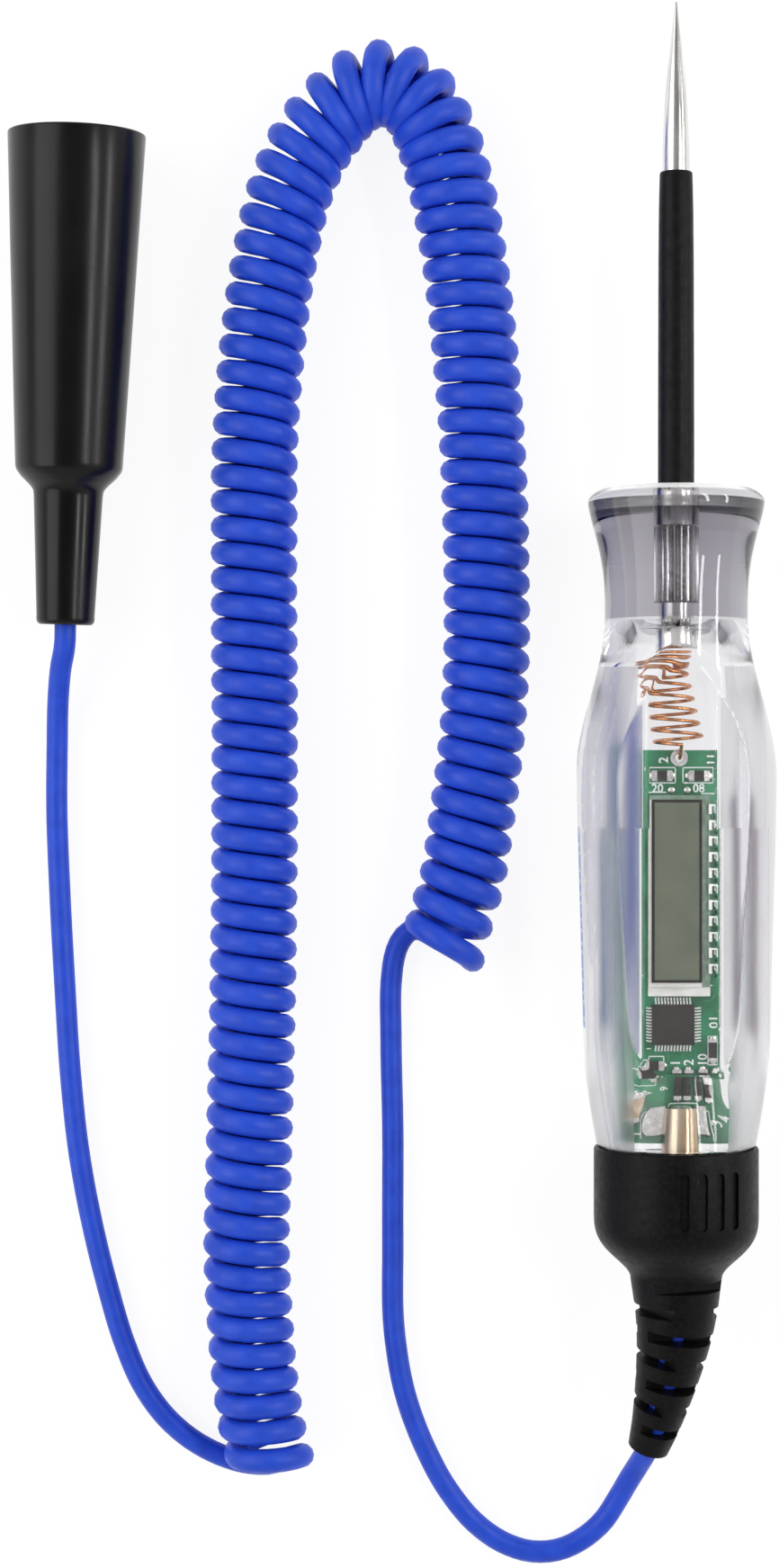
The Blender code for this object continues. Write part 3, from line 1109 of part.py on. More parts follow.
def make_clip_spring(pivot, material):
    """Winds the torsion spring about the pivot, with a leg under the lever and one on the floor."""
    lever_under = MOVING_JAW_HEIGHT + LEVER_RISE * (CLIP_SPRING_LEG - EAR_RADIUS) / (LEVER_LENGTH - EAR_RADIUS)
    stand_off = CLIP_SHEET + FIT_GAP + CLIP_WIRE_RADIUS
    upper = Vector((-CLIP_SPRING_LEG, lever_under - stand_off))
    lower = Vector((-CLIP_SPRING_LEG, -FIXED_JAW_DEPTH + stand_off))
    begin = math.atan2(upper.y, upper.x) - math.acos(CLIP_SPRING_RADIUS / upper.length)
    finish = math.atan2(lower.y, lower.x) + math.acos(CLIP_SPRING_RADIUS / lower.length)
    finish -= math.tau * (CLIP_SPRING_TURNS if finish < begin else CLIP_SPRING_TURNS + 1)
    turns = (begin - finish) / math.tau
    steps = round(turns * CLIP_SPRING_POINTS_PER_TURN)
    width = turns * CLIP_SPRING_PITCH
    points = [Vector((-width / 2, upper.x, upper.y))]
    for step in range(steps + 1):
        angle = begin + (finish - begin) * step / steps
        side = -width / 2 + width * step / steps
        points.append(Vector((side, CLIP_SPRING_RADIUS * math.cos(angle), CLIP_SPRING_RADIUS * math.sin(angle))))
    points.append(Vector((width / 2, lower.x, lower.y)))
    tube("clip_spring", points, CLIP_WIRE_RADIUS, 1, material, pivot)


def make_clip_conductor(frame, material, jacket_end):
    """Makes the bare wire from the cord's jacket into the crimp barrel."""
    points = [Vector((0.0, -jacket_end + FIT_GAP, 0.0)), Vector((0.0, -(jacket_end + BARREL_DISTANCE) / 2, 0.0)),
              Vector((0.0, -BARREL_DISTANCE - FIT_GAP, 0.0))]
    tube("clip_conductor", points, CONDUCTOR_RADIUS, 1, material, frame)


def make_materials():
    """Makes the materials that the pieces share."""
    return {
        "clear_plastic": make_material("clear_plastic", (0.90, 0.90, 0.95), 0.08, transmission=0.9),
        "steel": make_material("steel", (0.62, 0.62, 0.60), 0.25, metallic=1.0),
        "copper": make_material("copper", (0.70, 0.34, 0.16), 0.3, metallic=1.0),
        "tin": make_material("tin", (0.80, 0.80, 0.78), 0.2, metallic=1.0),
        "board_green": make_material("board_green", (0.02, 0.22, 0.08), 0.35),
        "film": make_material("film", (0.55, 0.58, 0.50), 0.4),
        "display_glass": make_material("display_glass", (0.60, 0.65, 0.60), 0.08),
        "display_window": make_material("display_window", (0.30, 0.32, 0.27), 0.2),
        "chip_black": make_material("chip_black", (0.03, 0.027, 0.025), 0.45),
        "capacitor_beige": make_material("capacitor_beige", (0.50, 0.40, 0.28), 0.4),
        "sleeve_black": make_material("sleeve_black", (0.018, 0.016, 0.016), 0.5),
        "cap_black": make_material("cap_black", (0.012, 0.012, 0.012), 0.5),
        "cord_blue": make_material("cord_blue", (0.03, 0.085, 0.52), 0.4),
        "boot_black": make_material("boot_black", (0.015, 0.015, 0.015), 0.3),
    }


def main():
    """Builds the whole tester."""
    clear_scene()
    materials = make_materials()
    tester = make_frame("tester_axis", (0.0, FRONT_FACE, AXIS_HEIGHT))
    boot_height = BOOT_MOUTH_RADIUS * math.cos(BOOT_PITCH) + FLOOR_GAP
    clip = make_frame("boot_axis", BOOT_MOUTH_PLACE + Vector((0.0, 0.0, boot_height)),
                      (BOOT_PITCH, 0.0, BOOT_HEADING))
    pivot = make_frame("clip_pivot", (0.0, -PIVOT_DISTANCE, 0.0))
    pivot.parent = clip

    make_handle(tester, materials["clear_plastic"])
    make_probe(tester, materials["steel"])
    make_probe_sleeve(tester, materials["sleeve_black"])
    make_board(tester, materials["board_green"])
    make_eyelet(tester, materials["tin"])
    make_contact_spring(tester, materials["copper"])
    glass_top = make_display(tester, materials)
    make_pin_row(tester, materials["tin"], glass_top)
    make_microcontroller(tester, materials["chip_black"])
    for chip in SMALL_CHIPS:
        material = "capacitor_beige" if chip[0] == "chip_capacitor" else "chip_black"
        make_small_chip(tester, chip, materials[material])
    make_ground_contact(tester, materials["tin"])
    socket = make_ground_terminal(tester, materials["steel"])
    jacket_start = FUNNEL_END + CORD_RADIUS
    make_cord_conductor(tester, materials["copper"], socket, jacket_start)
    make_end_cap(tester, materials["cap_black"])

    jacket_end = BARREL_DISTANCE + BARREL_LENGTH + FIT_GAP * 3
    make_boot(clip, materials["boot_black"])
    make_fixed_jaw(clip, materials["steel"])
    make_moving_jaw(pivot, materials["steel"])
    make_pivot_pin(pivot, materials["steel"])
    make_clip_spring(pivot, materials["steel"])
    make_clip_conductor(clip, materials["copper"], jacket_end)

    bpy.context.view_layer.update()
    make_cord(materials["cord_blue"], tester.matrix_world.copy(), clip.matrix_world.copy(), jacket_start,
              jacket_end)


main()
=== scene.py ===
"""Looks of the digital circuit tester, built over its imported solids.

Shapes are in millimetres, which MM turns into metres. Textures, lamps and the camera are in metres.
Stations are counted behind the handle's front face, and heights on the tester from its axis.
"""
import json
import math

import bmesh
import bpy
from mathutils import Matrix, Vector

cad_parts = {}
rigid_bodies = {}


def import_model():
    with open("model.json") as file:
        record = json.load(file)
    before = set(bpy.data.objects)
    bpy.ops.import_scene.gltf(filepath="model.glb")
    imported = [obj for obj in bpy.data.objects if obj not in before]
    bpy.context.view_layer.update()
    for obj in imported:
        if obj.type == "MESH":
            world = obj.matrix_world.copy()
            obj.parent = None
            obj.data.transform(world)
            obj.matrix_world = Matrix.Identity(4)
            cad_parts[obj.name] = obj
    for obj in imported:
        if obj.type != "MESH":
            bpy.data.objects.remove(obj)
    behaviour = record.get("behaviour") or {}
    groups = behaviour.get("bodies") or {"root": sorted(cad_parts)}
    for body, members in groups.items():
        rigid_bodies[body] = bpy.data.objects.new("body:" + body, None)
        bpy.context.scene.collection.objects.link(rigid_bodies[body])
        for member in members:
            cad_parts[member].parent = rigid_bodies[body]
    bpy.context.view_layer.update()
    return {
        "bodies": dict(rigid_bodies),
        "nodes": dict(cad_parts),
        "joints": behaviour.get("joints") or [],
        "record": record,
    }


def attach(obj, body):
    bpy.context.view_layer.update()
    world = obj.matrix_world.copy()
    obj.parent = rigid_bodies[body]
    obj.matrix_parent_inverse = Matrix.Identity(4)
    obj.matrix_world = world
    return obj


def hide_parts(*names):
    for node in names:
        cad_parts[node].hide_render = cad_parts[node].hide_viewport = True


MM = 0.001
UP = Vector((0.0, 0.0, 1.0))
EVEN = (1.0, 1.0, 1.0)
NO_FLAT = 1000.0

# Places and sizes that the part's source names too
FRONT_FACE = 38.7108
AXIS_HEIGHT = 14.1
HANDLE_LENGTH = 104.75
FRONT_RADIUS = 11.2
FLARE_LENGTH = 2.3
FLARE_RADIUS = 14.1
WAIST_START = 18.0
WAIST_END = 20.0
WAIST_RADIUS = 11.4
GRIP_START = 46.6
GRIP_RADIUS = 16.097
HEEL_START = 85.25
HEEL_RADIUS = GRIP_RADIUS - 0.9
HEEL_DROP = 2.5
FLAT_HEIGHT = 12.397
RUN_OUT_START = 77.8
RUN_OUT_RADIUS = 105.0
SIDE_FLAT_WIDTH = 15.747
SIDE_FLAT_TAPER = 0.02706
SPIGOT_END = 114.05
SPIGOT_RADIUS = 11.597
BORE_RADIUS = 9.897
FRONT_BORE_RADIUS = 9.597
BORE_FLAT = 7.918
BORE_STEP = 54.1
CAVITY_CONE_END = 28.9
CAVITY_CONE_LENGTH = 7.75
CAVITY_RADIUS = 6.15
BOARD_FRONT = 41.7
BOARD_TOP = -0.2
CAP_RIM = HANDLE_LENGTH + 0.3
CAP_RADIUS = 13.147
CAP_SHOULDER = CAP_RIM + 10.0
CAP_SHOULDER_LENGTH = 11.0
RELIEF_ROOT = CAP_SHOULDER + CAP_SHOULDER_LENGTH
RELIEF_LENGTH = 28.1
RELIEF_ROOT_RADIUS = 7.3
RELIEF_TIP_RADIUS = 3.3
CORD_HOLE = 2.1
CORD_RADIUS = 1.8
COIL_WIRE = 1.95
COIL_TURN_RADIUS = 5.15
COIL_HEIGHT = 7.15
COIL_TURNS = 91
COIL_PITCH = 4.03
BOOT_PLACE = (-96.15, 96.3, 11.1386)
BOOT_PITCH = math.radians(2.603)
BOOT_HEADING = math.radians(-1.63)
BOOT_LENGTH = 79.0
JACKET_END = 57.4

# Matrix from the tester's own millimetres (sideways, forward, up) to the world
TESTER = Matrix.LocRotScale(Vector((0.0, FRONT_FACE, AXIS_HEIGHT)) * MM, None, Vector((MM, MM, MM)))


def on_tester(side, station, height):
    """Gives a world place from the tester's own sideways place, station and height."""
    return Vector((side, FRONT_FACE - station, AXIS_HEIGHT + height)) * MM


def board_place(side, offset, height=0.0):
    """Gives a world place on the board: sideways, behind its front edge and above its top."""
    return on_tester(side, BOARD_FRONT + offset, BOARD_TOP + height)


def link(item):
    """Puts an object into the scene."""
    bpy.context.scene.collection.objects.link(item)
    return item


# Stage, camera and lamps
PHOTO_WIDTH = 866.0
FOCAL_PIXELS = 3376.9
SENSOR = 36.0
CAMERA_PLACE = (-0.04584, -0.00841, 0.5)
LAMP_AIM = Vector((-0.045, -0.01, 0.01))
LAMPS = (
    ("lamp_left", (-0.62, 0.05, 0.50), (0.9, 0.55), 2.6),
    ("lamp_right", (0.38, 0.075, 0.58), (0.46, 0.05), 1.0),
    ("lamp_right_low", (0.60, 0.09, 0.32), (0.44, 0.05), 0.85),
)
FLOOR_COLOUR = (0.86, 0.86, 0.86)
FLOOR_GLOW = 1.12
FLOOR_GLOW_SHARE = 0.8
TENT_LOW = (0.72, 0.72, 0.74, 1.0)
TENT_TOP = (0.2, 0.2, 0.21, 1.0)
TENT_LEVELS = ((0.45, 0.8), (0.75, 0.55), (0.93, 0.28))
TENT_STRENGTH = 0.8
SEEN_THROUGH = (0.98, 0.98, 1.0, 1.0)
SEEN_THROUGH_SHARE = 0.85
BACKDROP = (1.27, 1.27, 1.28, 1.0)


def add_camera():
    """Looks straight down from half a metre, as the photograph does."""
    data = bpy.data.cameras.new("camera")
    data.sensor_fit = "HORIZONTAL"
    data.sensor_width = SENSOR
    data.lens = SENSOR * FOCAL_PIXELS / PHOTO_WIDTH
    data.clip_start = 0.01
    data.clip_end = 20.0
    camera = link(bpy.data.objects.new("camera", data))
    camera.location = CAMERA_PLACE
    bpy.context.scene.camera = camera


def add_node(tree, kind, inputs, **settings):
    """Adds a shader node and gives it; its inputs are numbers, colours or sockets to link."""
    node = tree.nodes.new("ShaderNode" + kind)
    for key, value in settings.items():
        setattr(node, key, value)
    for key, value in inputs.items():
        if isinstance(value, bpy.types.NodeSocket):
            tree.links.new(value, node.inputs[key])
        else:
            node.inputs[key].default_value = value
    return node


def seen_ray(tree):
    """Gives a socket that is 1 for camera, glossy and transmission rays."""
    path = add_node(tree, "LightPath", {})
    total = path.outputs["Is Camera Ray"]
    for name in ("Is Glossy Ray", "Is Transmission Ray"):
        total = add_node(tree, "Math", {0: total, 1: path.outputs[name]}, operation="MAXIMUM").outputs[0]
    return total


def add_floor():
    """Lays a pale floor that looks nearly white and keeps the shadows."""
    shape = bmesh.new()
    bmesh.ops.create_grid(shape, x_segments=4, y_segments=4, size=3.0)
    mesh = bpy.data.meshes.new("floor")
    shape.to_mesh(mesh)
    shape.free()
    floor = link(bpy.data.objects.new("floor", mesh))
    floor.location = (0.0, 0.0, -0.05 * MM)
    material = shade("floor", FLOOR_COLOUR, 0.9, {})
    tree = material.node_tree
    glow = add_node(tree, "Emission", {"Color": (1.0, 1.0, 1.0, 1.0), "Strength": FLOOR_GLOW})
    share = add_node(tree, "Math", {0: seen_ray(tree), 1: FLOOR_GLOW_SHARE}, operation="MULTIPLY")
    shader = tree.nodes["Principled BSDF"]
    mix = add_node(tree, "MixShader", {0: share.outputs[0], 1: shader.outputs[0], 2: glow.outputs[0]})
    tree.links.new(mix.outputs[0], tree.nodes["Material Output"].inputs["Surface"])
    mesh.materials.append(material)


def add_world():
    """Lights all round with a soft tent that is darker overhead, in front of a white backdrop."""
    world = bpy.data.worlds.new("studio")
    bpy.context.scene.world = world
    world.use_nodes = True
    tree = world.node_tree
    split = add_node(tree, "SeparateXYZ", {0: add_node(tree, "TexCoord", {}).outputs["Generated"]})
    ramp = add_node(tree, "ValToRGB", {0: split.outputs["Z"]})
    first, last = ramp.color_ramp.elements
    first.position, first.color = 0.0, TENT_LOW
    last.position, last.color = 1.0, TENT_TOP
    for position, level in TENT_LEVELS:
        ramp.color_ramp.elements.new(position).color = (level, level, level * 1.02, 1.0)
    path = add_node(tree, "LightPath", {})
    through = add_node(tree, "Math", {0: path.outputs["Is Transmission Ray"], 1: SEEN_THROUGH_SHARE},
                       operation="MULTIPLY")
    colour = ramp.outputs[0]
    for share, other in ((through.outputs[0], SEEN_THROUGH), (path.outputs["Is Camera Ray"], BACKDROP)):
        colour = add_node(tree, "Mix", {0: share, 6: colour, 7: other}, data_type="RGBA").outputs[2]
    tree.links.new(colour, tree.nodes["Background"].inputs["Color"])
    tree.nodes["Background"].inputs["Strength"].default_value = TENT_STRENGTH


def add_lamp(name, place, size, power):
    """Hangs one soft lamp that faces the object."""
    data = bpy.data.lights.new(name, "AREA")
    data.shape = "RECTANGLE"
    data.size, data.size_y = size
    data.energy = power
    lamp = link(bpy.data.objects.new(name, data))
    lamp.location = place
    lamp.rotation_euler = (LAMP_AIM - Vector(place)).to_track_quat("-Z", "Y").to_euler()


# Materials: name, colour, roughness and settings, then what mottle, polish and grain take
CLEAR = {"Transmission Weight": 1.0, "IOR": 1.49}
METAL = {"Metallic": 1.0}
FINISHES = {
    "clear": ("clear_plastic", (0.98, 0.98, 0.982), 0.04, CLEAR, None,
              (0.02, 0.06, 90.0), (260.0, 0.05, EVEN, 0.06)),
    "clear_grip": ("clear_plastic_grip", (0.98, 0.98, 0.982), 0.04, CLEAR, None,
                   (0.02, 0.06, 90.0), (260.0, 0.05, EVEN, 0.06)),
    "satin": ("clear_plastic_satin", (0.99, 0.99, 0.992), 0.4, CLEAR, None,
              (0.36, 0.46, 90.0), (260.0, 0.05, EVEN, 0.1)),
    "steel": ("probe_steel", (0.80, 0.79, 0.76), 0.22, METAL,
              ((0.71, 0.70, 0.67), (0.89, 0.88, 0.85), 900.0, (1.0, 0.06, 1.0)),
              (0.14, 0.32, 1500.0, (1.0, 0.05, 1.0)), (2400.0, 0.02, (0.05, 1.0, 0.05), 0.35)),
    # Darker steel for the spline notches: painted shade
    "notch_shade": ("steel_painted_notch_shade", (0.46, 0.44, 0.42), 0.35, METAL,
               ((0.34, 0.33, 0.31), (0.60, 0.58, 0.55), 1400.0), (0.3, 0.5, 1100.0), None),
    "lead": ("lead_tin", (0.88, 0.88, 0.85), 0.42, {"Metallic": 0.35},
             ((0.80, 0.80, 0.77), (0.95, 0.95, 0.92), 1700.0), (0.3, 0.5, 1300.0), None),
    "clip_steel": ("clip_steel", (0.52, 0.52, 0.50), 0.3, METAL,
                   ((0.44, 0.44, 0.42), (0.62, 0.62, 0.60), 500.0),
                   (0.22, 0.42, 700.0), (1800.0, 0.02, (1.0, 0.15, 1.0), 0.4)),
    "copper": ("copper_wire", (0.55, 0.22, 0.085), 0.22, METAL,
               ((0.40, 0.145, 0.05), (0.74, 0.34, 0.15), 500.0), (0.16, 0.36, 900.0), None),
    "tin": ("bright_tin", (0.78, 0.77, 0.74), 0.2, METAL,
            ((0.66, 0.65, 0.61), (0.88, 0.87, 0.84), 1400.0),
            (0.12, 0.35, 1100.0), (1500.0, 0.04, EVEN, 0.3)),
    "brass": ("contact_brass", (0.52, 0.37, 0.23), 0.2, METAL,
              ((0.40, 0.24, 0.12), (0.66, 0.56, 0.42), 300.0, (1.0, 0.1, 1.0)),
              (0.12, 0.3, 700.0, (1.0, 0.15, 1.0)), None),
    "board": ("board_green", (0.009, 0.17, 0.065), 0.32, {"Coat Weight": 0.3, "Coat Roughness": 0.15},
              ((0.007, 0.13, 0.048), (0.020, 0.23, 0.10), 200.0, EVEN, 0.4, 0.62),
              None, (1300.0, 0.02, EVEN, 0.3)),
    "track": ("board_track", (0.022, 0.22, 0.10), 0.3, {"Coat Weight": 0.3},
              ((0.016, 0.185, 0.082), (0.03, 0.25, 0.115), 700.0), None, None),
    "ink": ("board_ink", (0.80, 0.82, 0.80), 0.55, {},
            ((0.68, 0.71, 0.68), (0.88, 0.9, 0.88), 2600.0), None, None),
    "ledge": ("display_ledge", (0.74, 0.74, 0.69), 0.15, {"Coat Weight": 0.4},
              ((0.68, 0.68, 0.62), (0.80, 0.80, 0.76), 420.0), None, None),
    "strip": ("display_strip", (0.19, 0.29, 0.21), 0.14, {"Coat Weight": 0.4},
              ((0.15, 0.24, 0.17), (0.25, 0.34, 0.26), 900.0), None, None),
    "window": ("display_window", (0.125, 0.144, 0.096), 0.28, {"Coat Weight": 0.25, "Coat Roughness": 0.08},
               ((0.112, 0.130, 0.085), (0.140, 0.160, 0.107), 260.0, EVEN, 0.3, 0.7),
               None, (4500.0, 0.01, EVEN, 0.15)),
    # The window's dark border, also used for the painted shadows between the display pins
    "border_and_painted_shadow": ("display_border_and_painted_shadow", (0.012, 0.010, 0.008), 0.4, {"Specular IOR Level": 0.25},
               ((0.008, 0.007, 0.006), (0.022, 0.018, 0.013), 2000.0), None, None),
    "film": ("reflector_film", (0.50, 0.53, 0.46), 0.4, {},
             ((0.45, 0.48, 0.42), (0.56, 0.58, 0.51), 600.0), None, None),
    "chip": ("chip_body", (0.030, 0.026, 0.021), 0.45, {"Specular IOR Level": 0.3},
             ((0.023, 0.020, 0.016), (0.040, 0.034, 0.028), 1900.0), None, (5200.0, 0.02, EVEN, 0.4)),
    "beige": ("capacitor_beige", (0.42, 0.31, 0.19), 0.4, {},
              ((0.36, 0.26, 0.16), (0.52, 0.40, 0.26), 1500.0), None, None),
    "sleeve": ("sleeve_black", (0.006, 0.0055, 0.006), 0.4, {"Specular IOR Level": 0.17},
               ((0.004, 0.0038, 0.004), (0.009, 0.008, 0.0085), 700.0),
               (0.36, 0.52, 600.0), (1500.0, 0.03, (1.0, 0.4, 1.0), 0.3)),
    "cap": ("cap_black", (0.005, 0.0043, 0.0041), 0.42, {"Specular IOR Level": 0.14},
            ((0.003, 0.0027, 0.0026), (0.008, 0.0068, 0.0064), 1300.0),
            (0.36, 0.5, 900.0), (2300.0, 0.06, EVEN, 0.55)),
    "boot": ("boot_black", (0.004, 0.0033, 0.0032), 0.22, {"Specular IOR Level": 0.3},
             ((0.003, 0.0025, 0.0024), (0.006, 0.005, 0.0047), 120.0),
             (0.2, 0.32, 160.0, (1.0, 0.3, 1.0)), (420.0, 0.05, (1.0, 0.25, 1.0), 0.12)),
    "cord": ("cord_blue", (0.018, 0.080, 0.68), 0.42, {"Specular IOR Level": 0.35},
             ((0.016, 0.073, 0.64), (0.021, 0.090, 0.73), 320.0),
             (0.36, 0.5, 500.0), (1700.0, 0.04, EVEN, 0.35)),
    "blue": ("side_mark_blue", (0.16, 0.40, 0.80), 0.4, {},
             ((0.10, 0.32, 0.74), (0.34, 0.56, 0.88), 1500.0), None, None),
    "base": ("side_mark_base", (0.74, 0.78, 0.85), 0.5, {},
             ((0.66, 0.71, 0.82), (0.84, 0.86, 0.90), 700.0, (1.0, 0.3, 1.0)), None, None),
    "red": ("side_mark_red", (0.62, 0.09, 0.07), 0.4, {},
            ((0.52, 0.06, 0.05), (0.72, 0.16, 0.12), 1500.0), None, None),
}
TINT = (0.775, 0.765, 0.79, 1.0)
TINT_DENSITIES = {"clear": 200.0, "clear_grip": 60.0}
SHADOW_TINT = (0.80, 0.80, 0.81, 1.0)

# Materials of the carried-over solids that no piece replaces
NODE_MATERIALS = {
    "circuit_board": "board", "probe_eyelet": "tin", "lcd_reflector": "film", "ground_terminal": "steel",
    "cord_conductor": "copper", "clip_spring": "clip_steel", "clip_conductor": "copper",
}


def shade(name, colour, roughness, settings):
    """Makes a Principled material with settings for its named sockets."""
    material = bpy.data.materials.new(name)
    material.use_nodes = True
    shader = material.node_tree.nodes["Principled BSDF"]
    shader.inputs["Base Color"].default_value = (*colour, 1.0)
    shader.inputs["Roughness"].default_value = roughness
    for key, value in settings.items():
        shader.inputs[key].default_value = value
    material.diffuse_color = (*colour, 1.0)
    return material


def drive(material, socket, name):
    """Links a socket to a named input of the material's shader."""
    material.node_tree.links.new(socket, material.node_tree.nodes["Principled BSDF"].inputs[name])


def noise_value(tree, scale, detail, stretch):
    """Adds a noise texture laid out in metres and gives its value."""
    place = add_node(tree, "TexCoord", {})
    mapping = add_node(tree, "Mapping", {"Scale": stretch, "Vector": place.outputs["Object"]})
    noise = add_node(tree, "TexNoise", {"Scale": scale, "Detail": detail, "Vector": mapping.outputs[0]})
    return noise.outputs["Fac"]


def mottle(material, first, second, scale, stretch=EVEN, low=0.35, high=0.65):
    """Varies the base colour between two colours."""
    tree = material.node_tree
    ramp = add_node(tree, "ValToRGB", {0: noise_value(tree, scale, 3.0, stretch)})
    for element, position, colour in zip(ramp.color_ramp.elements, (low, high), (first, second)):
        element.position = position
        element.color = (*colour, 1.0)
    drive(material, ramp.outputs[0], "Base Color")


def polish(material, low, high, scale, stretch=EVEN):
    """Varies the roughness between two values."""
    tree = material.node_tree
    spread = add_node(tree, "MapRange", {"From Min": 0.3, "From Max": 0.7, "To Min": low, "To Max": high,
                                         "Value": noise_value(tree, scale, 2.0, stretch)})
    drive(material, spread.outputs[0], "Roughness")


def grain(material, scale, depth, stretch, strength):
    """Adds fine relief."""
    tree = material.node_tree
    bump = add_node(tree, "Bump", {"Strength": strength, "Distance": depth * MM,
                                   "Height": noise_value(tree, scale, 4.0, stretch)})
    drive(material, bump.outputs[0], "Normal")


def tint_depth(material, density):
    """Tints a clear material by the depth that is looked through."""
    tree = material.node_tree
    depth = add_node(tree, "VolumeAbsorption", {"Color": TINT, "Density": density})
    tree.links.new(depth.outputs[0], tree.nodes["Material Output"].inputs["Volume"])


def let_light_in(material):
    """Lets lamp light pass straight through a clear material to what it holds."""
    tree = material.node_tree
    shadow = add_node(tree, "LightPath", {}).outputs["Is Shadow Ray"]
    clear = add_node(tree, "BsdfTransparent", {"Color": SHADOW_TINT})
    shader = tree.nodes["Principled BSDF"]
    mix = add_node(tree, "MixShader", {0: shadow, 1: shader.outputs[0], 2: clear.outputs[0]})
    tree.links.new(mix.outputs[0], tree.nodes["Material Output"].inputs["Surface"])


def make_materials():
    """Makes every material of the scene."""
    made = {}
    for key, (name, colour, roughness, settings, colours, gloss, relief) in FINISHES.items():
        material = shade(name, colour, roughness, settings)
        if colours:
            mottle(material, *colours)
        if gloss:
            polish(material, *gloss)
        if relief:
            grain(material, *relief)
        if key in TINT_DENSITIES:
            tint_depth(material, TINT_DENSITIES[key])
        if settings is CLEAR:
            let_light_in(material)
        made[key] = material
    return made


def dress_nodes(nodes, made):
    """Gives each carried-over solid its material."""
    for name, key in NODE_MATERIALS.items():
        mesh = nodes[name].data
        mesh.materials.clear()
        mesh.materials.append(made[key])


# Shapes
def finish_piece(name, shape, materials, replaces=(), sharp_angle=35.0):
    """Turns a bmesh into a piece that rides on the tester and stands for CAD nodes."""
    bmesh.ops.recalc_face_normals(shape, faces=shape.faces)
    mesh = bpy.data.meshes.new(name)
    shape.to_mesh(mesh)
    shape.free()
    mesh.shade_smooth()
    mesh.set_sharp_from_angle(angle=math.radians(sharp_angle))
    piece = link(bpy.data.objects.new(name, mesh))
    for material in materials:
        mesh.materials.append(material)
    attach(piece, "tester")
    if replaces:
        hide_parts(*replaces)
    return piece


def skin(shape, rings, closed=False, slot=0):
    """Joins rings of points into a surface, closed on itself or capped at both ends."""
    loops = [[shape.verts.new(point) for point in ring] for ring in rings]
    pairs = list(zip(loops, loops[1:]))
    if closed:
        pairs.append((loops[-1], loops[0]))
    count = len(loops[0])
    faces = []
    for near, far in pairs:
        for index in range(count):
            following = (index + 1) % count
            faces.append(shape.faces.new((near[index], near[following], far[following], far[index])))
    if not closed:
        faces.append(shape.faces.new(loops[0][::-1]))
        faces.append(shape.faces.new(loops[-1]))
    for face in faces:
        face.material_index = slot
    return faces


def circle(radius, count):
    """Gives evenly spaced points of a circle."""
    angles = [math.tau * step / count for step in range(count)]
    return [(radius * math.cos(angle), radius * math.sin(angle)) for angle in angles]


def round_ring(place, along, radius, count):
    """Gives a ring about a matrix's own Y, at a distance back along it."""
    return [place @ Vector((x, -along, z)) for x, z in circle(radius, count)]


def prism(shape, outline, low, high, place=Matrix(), slot=0):
    """Adds an outline in a matrix's X and Y, raised from low to high."""
    rings = [[place @ Vector((x, y, level)) for x, y in outline] for level in (low, high)]
    return skin(shape, rings, slot=slot)


def box(shape, low, high, slot=0):
    """Adds a plain block between two world places."""
    outline = [(low[0], low[1]), (high[0], low[1]), (high[0], high[1]), (low[0], high[1])]
    return prism(shape, outline, low[2], high[2], slot=slot)


def dome(shape, centre, radius, height, slot=0, segments=14):
    """Adds a low round drop, such as a solder joint, at a world place."""
    rings = []
    for step in range(6):
        angle = math.pi / 2 * step / 6
        level = height * math.sin(angle)
        rings.append([centre + Vector((x, y, level)) * MM for x, y in circle(radius * math.cos(angle), segments)])
    return skin(shape, rings, slot=slot)


def soften(piece, width, angle=30.0):
    """Rounds a piece's edges."""
    bevel = piece.modifiers.new("soften", "BEVEL")
    bevel.width = width * MM
    bevel.segments = 2
    bevel.limit_method = "ANGLE"
    bevel.angle_limit = math.radians(angle)
    bevel.harden_normals = True


def tangent_at(before, point, after):
    """Gives the unit direction of a smooth curve at a knot, weighed by the nearer neighbour."""
    back, ahead = point - before, after - point
    return (back / back.length ** 2 + ahead / ahead.length ** 2).normalized()


def smooth_line(points, parts):
    """Gives a dense smooth line through the points."""
    knots = [Vector(point) for point in points]
    knots = [knots[0] * 2 - knots[1]] + knots + [knots[-1] * 2 - knots[-2]]
    dense = []
    for index in range(1, len(knots) - 2):
        before, start, end, after = knots[index - 1:index + 3]
        reach = (end - start).length
        leave = tangent_at(before, start, end) * reach
        arrive = tangent_at(start, end, after) * reach
        for part in range(parts):
            t = part / parts
            dense.append(start * (2 * t ** 3 - 3 * t ** 2 + 1) + leave * (t ** 3 - 2 * t ** 2 + t)
                         + end * (3 * t ** 2 - 2 * t ** 3) + arrive * (t ** 3 - t ** 2))
    dense.append(knots[-2])
    return dense


def lengths_of(line):
    """Gives the distance along a line at each of its points."""
    lengths = [0.0]
    for start, end in zip(line, line[1:]):
        lengths.append(lengths[-1] + (end - start).length)
    return lengths


def point_at(line, lengths, target):
    """Gives the place at a distance along a line, straight on past its ends."""
    low, high = 0, len(line) - 1
    while high - low > 1:
        middle = (low + high) // 2
        if lengths[middle] <= target:
            low = middle
        else:
            high = middle
    share = (target - lengths[low]) / (lengths[high] - lengths[low])
    return line[low].lerp(line[high], share)


def even_spaced(dense, step):
    """Resamples a dense line at even distances close to step."""
    lengths = lengths_of(dense)
    count = max(2, round(lengths[-1] / step))
    return [point_at(dense, lengths, lengths[-1] * part / count) for part in range(count + 1)]


def ease_step(share):
    """Gives a smooth 0 to 1 step."""
    share = min(1.0, max(0.0, share))
    return share * share * (3.0 - 2.0 * share)


def wave_step(share):
    """Gives half a cosine wave from 0 to 1."""
    return (1.0 - math.cos(math.pi * share)) / 2


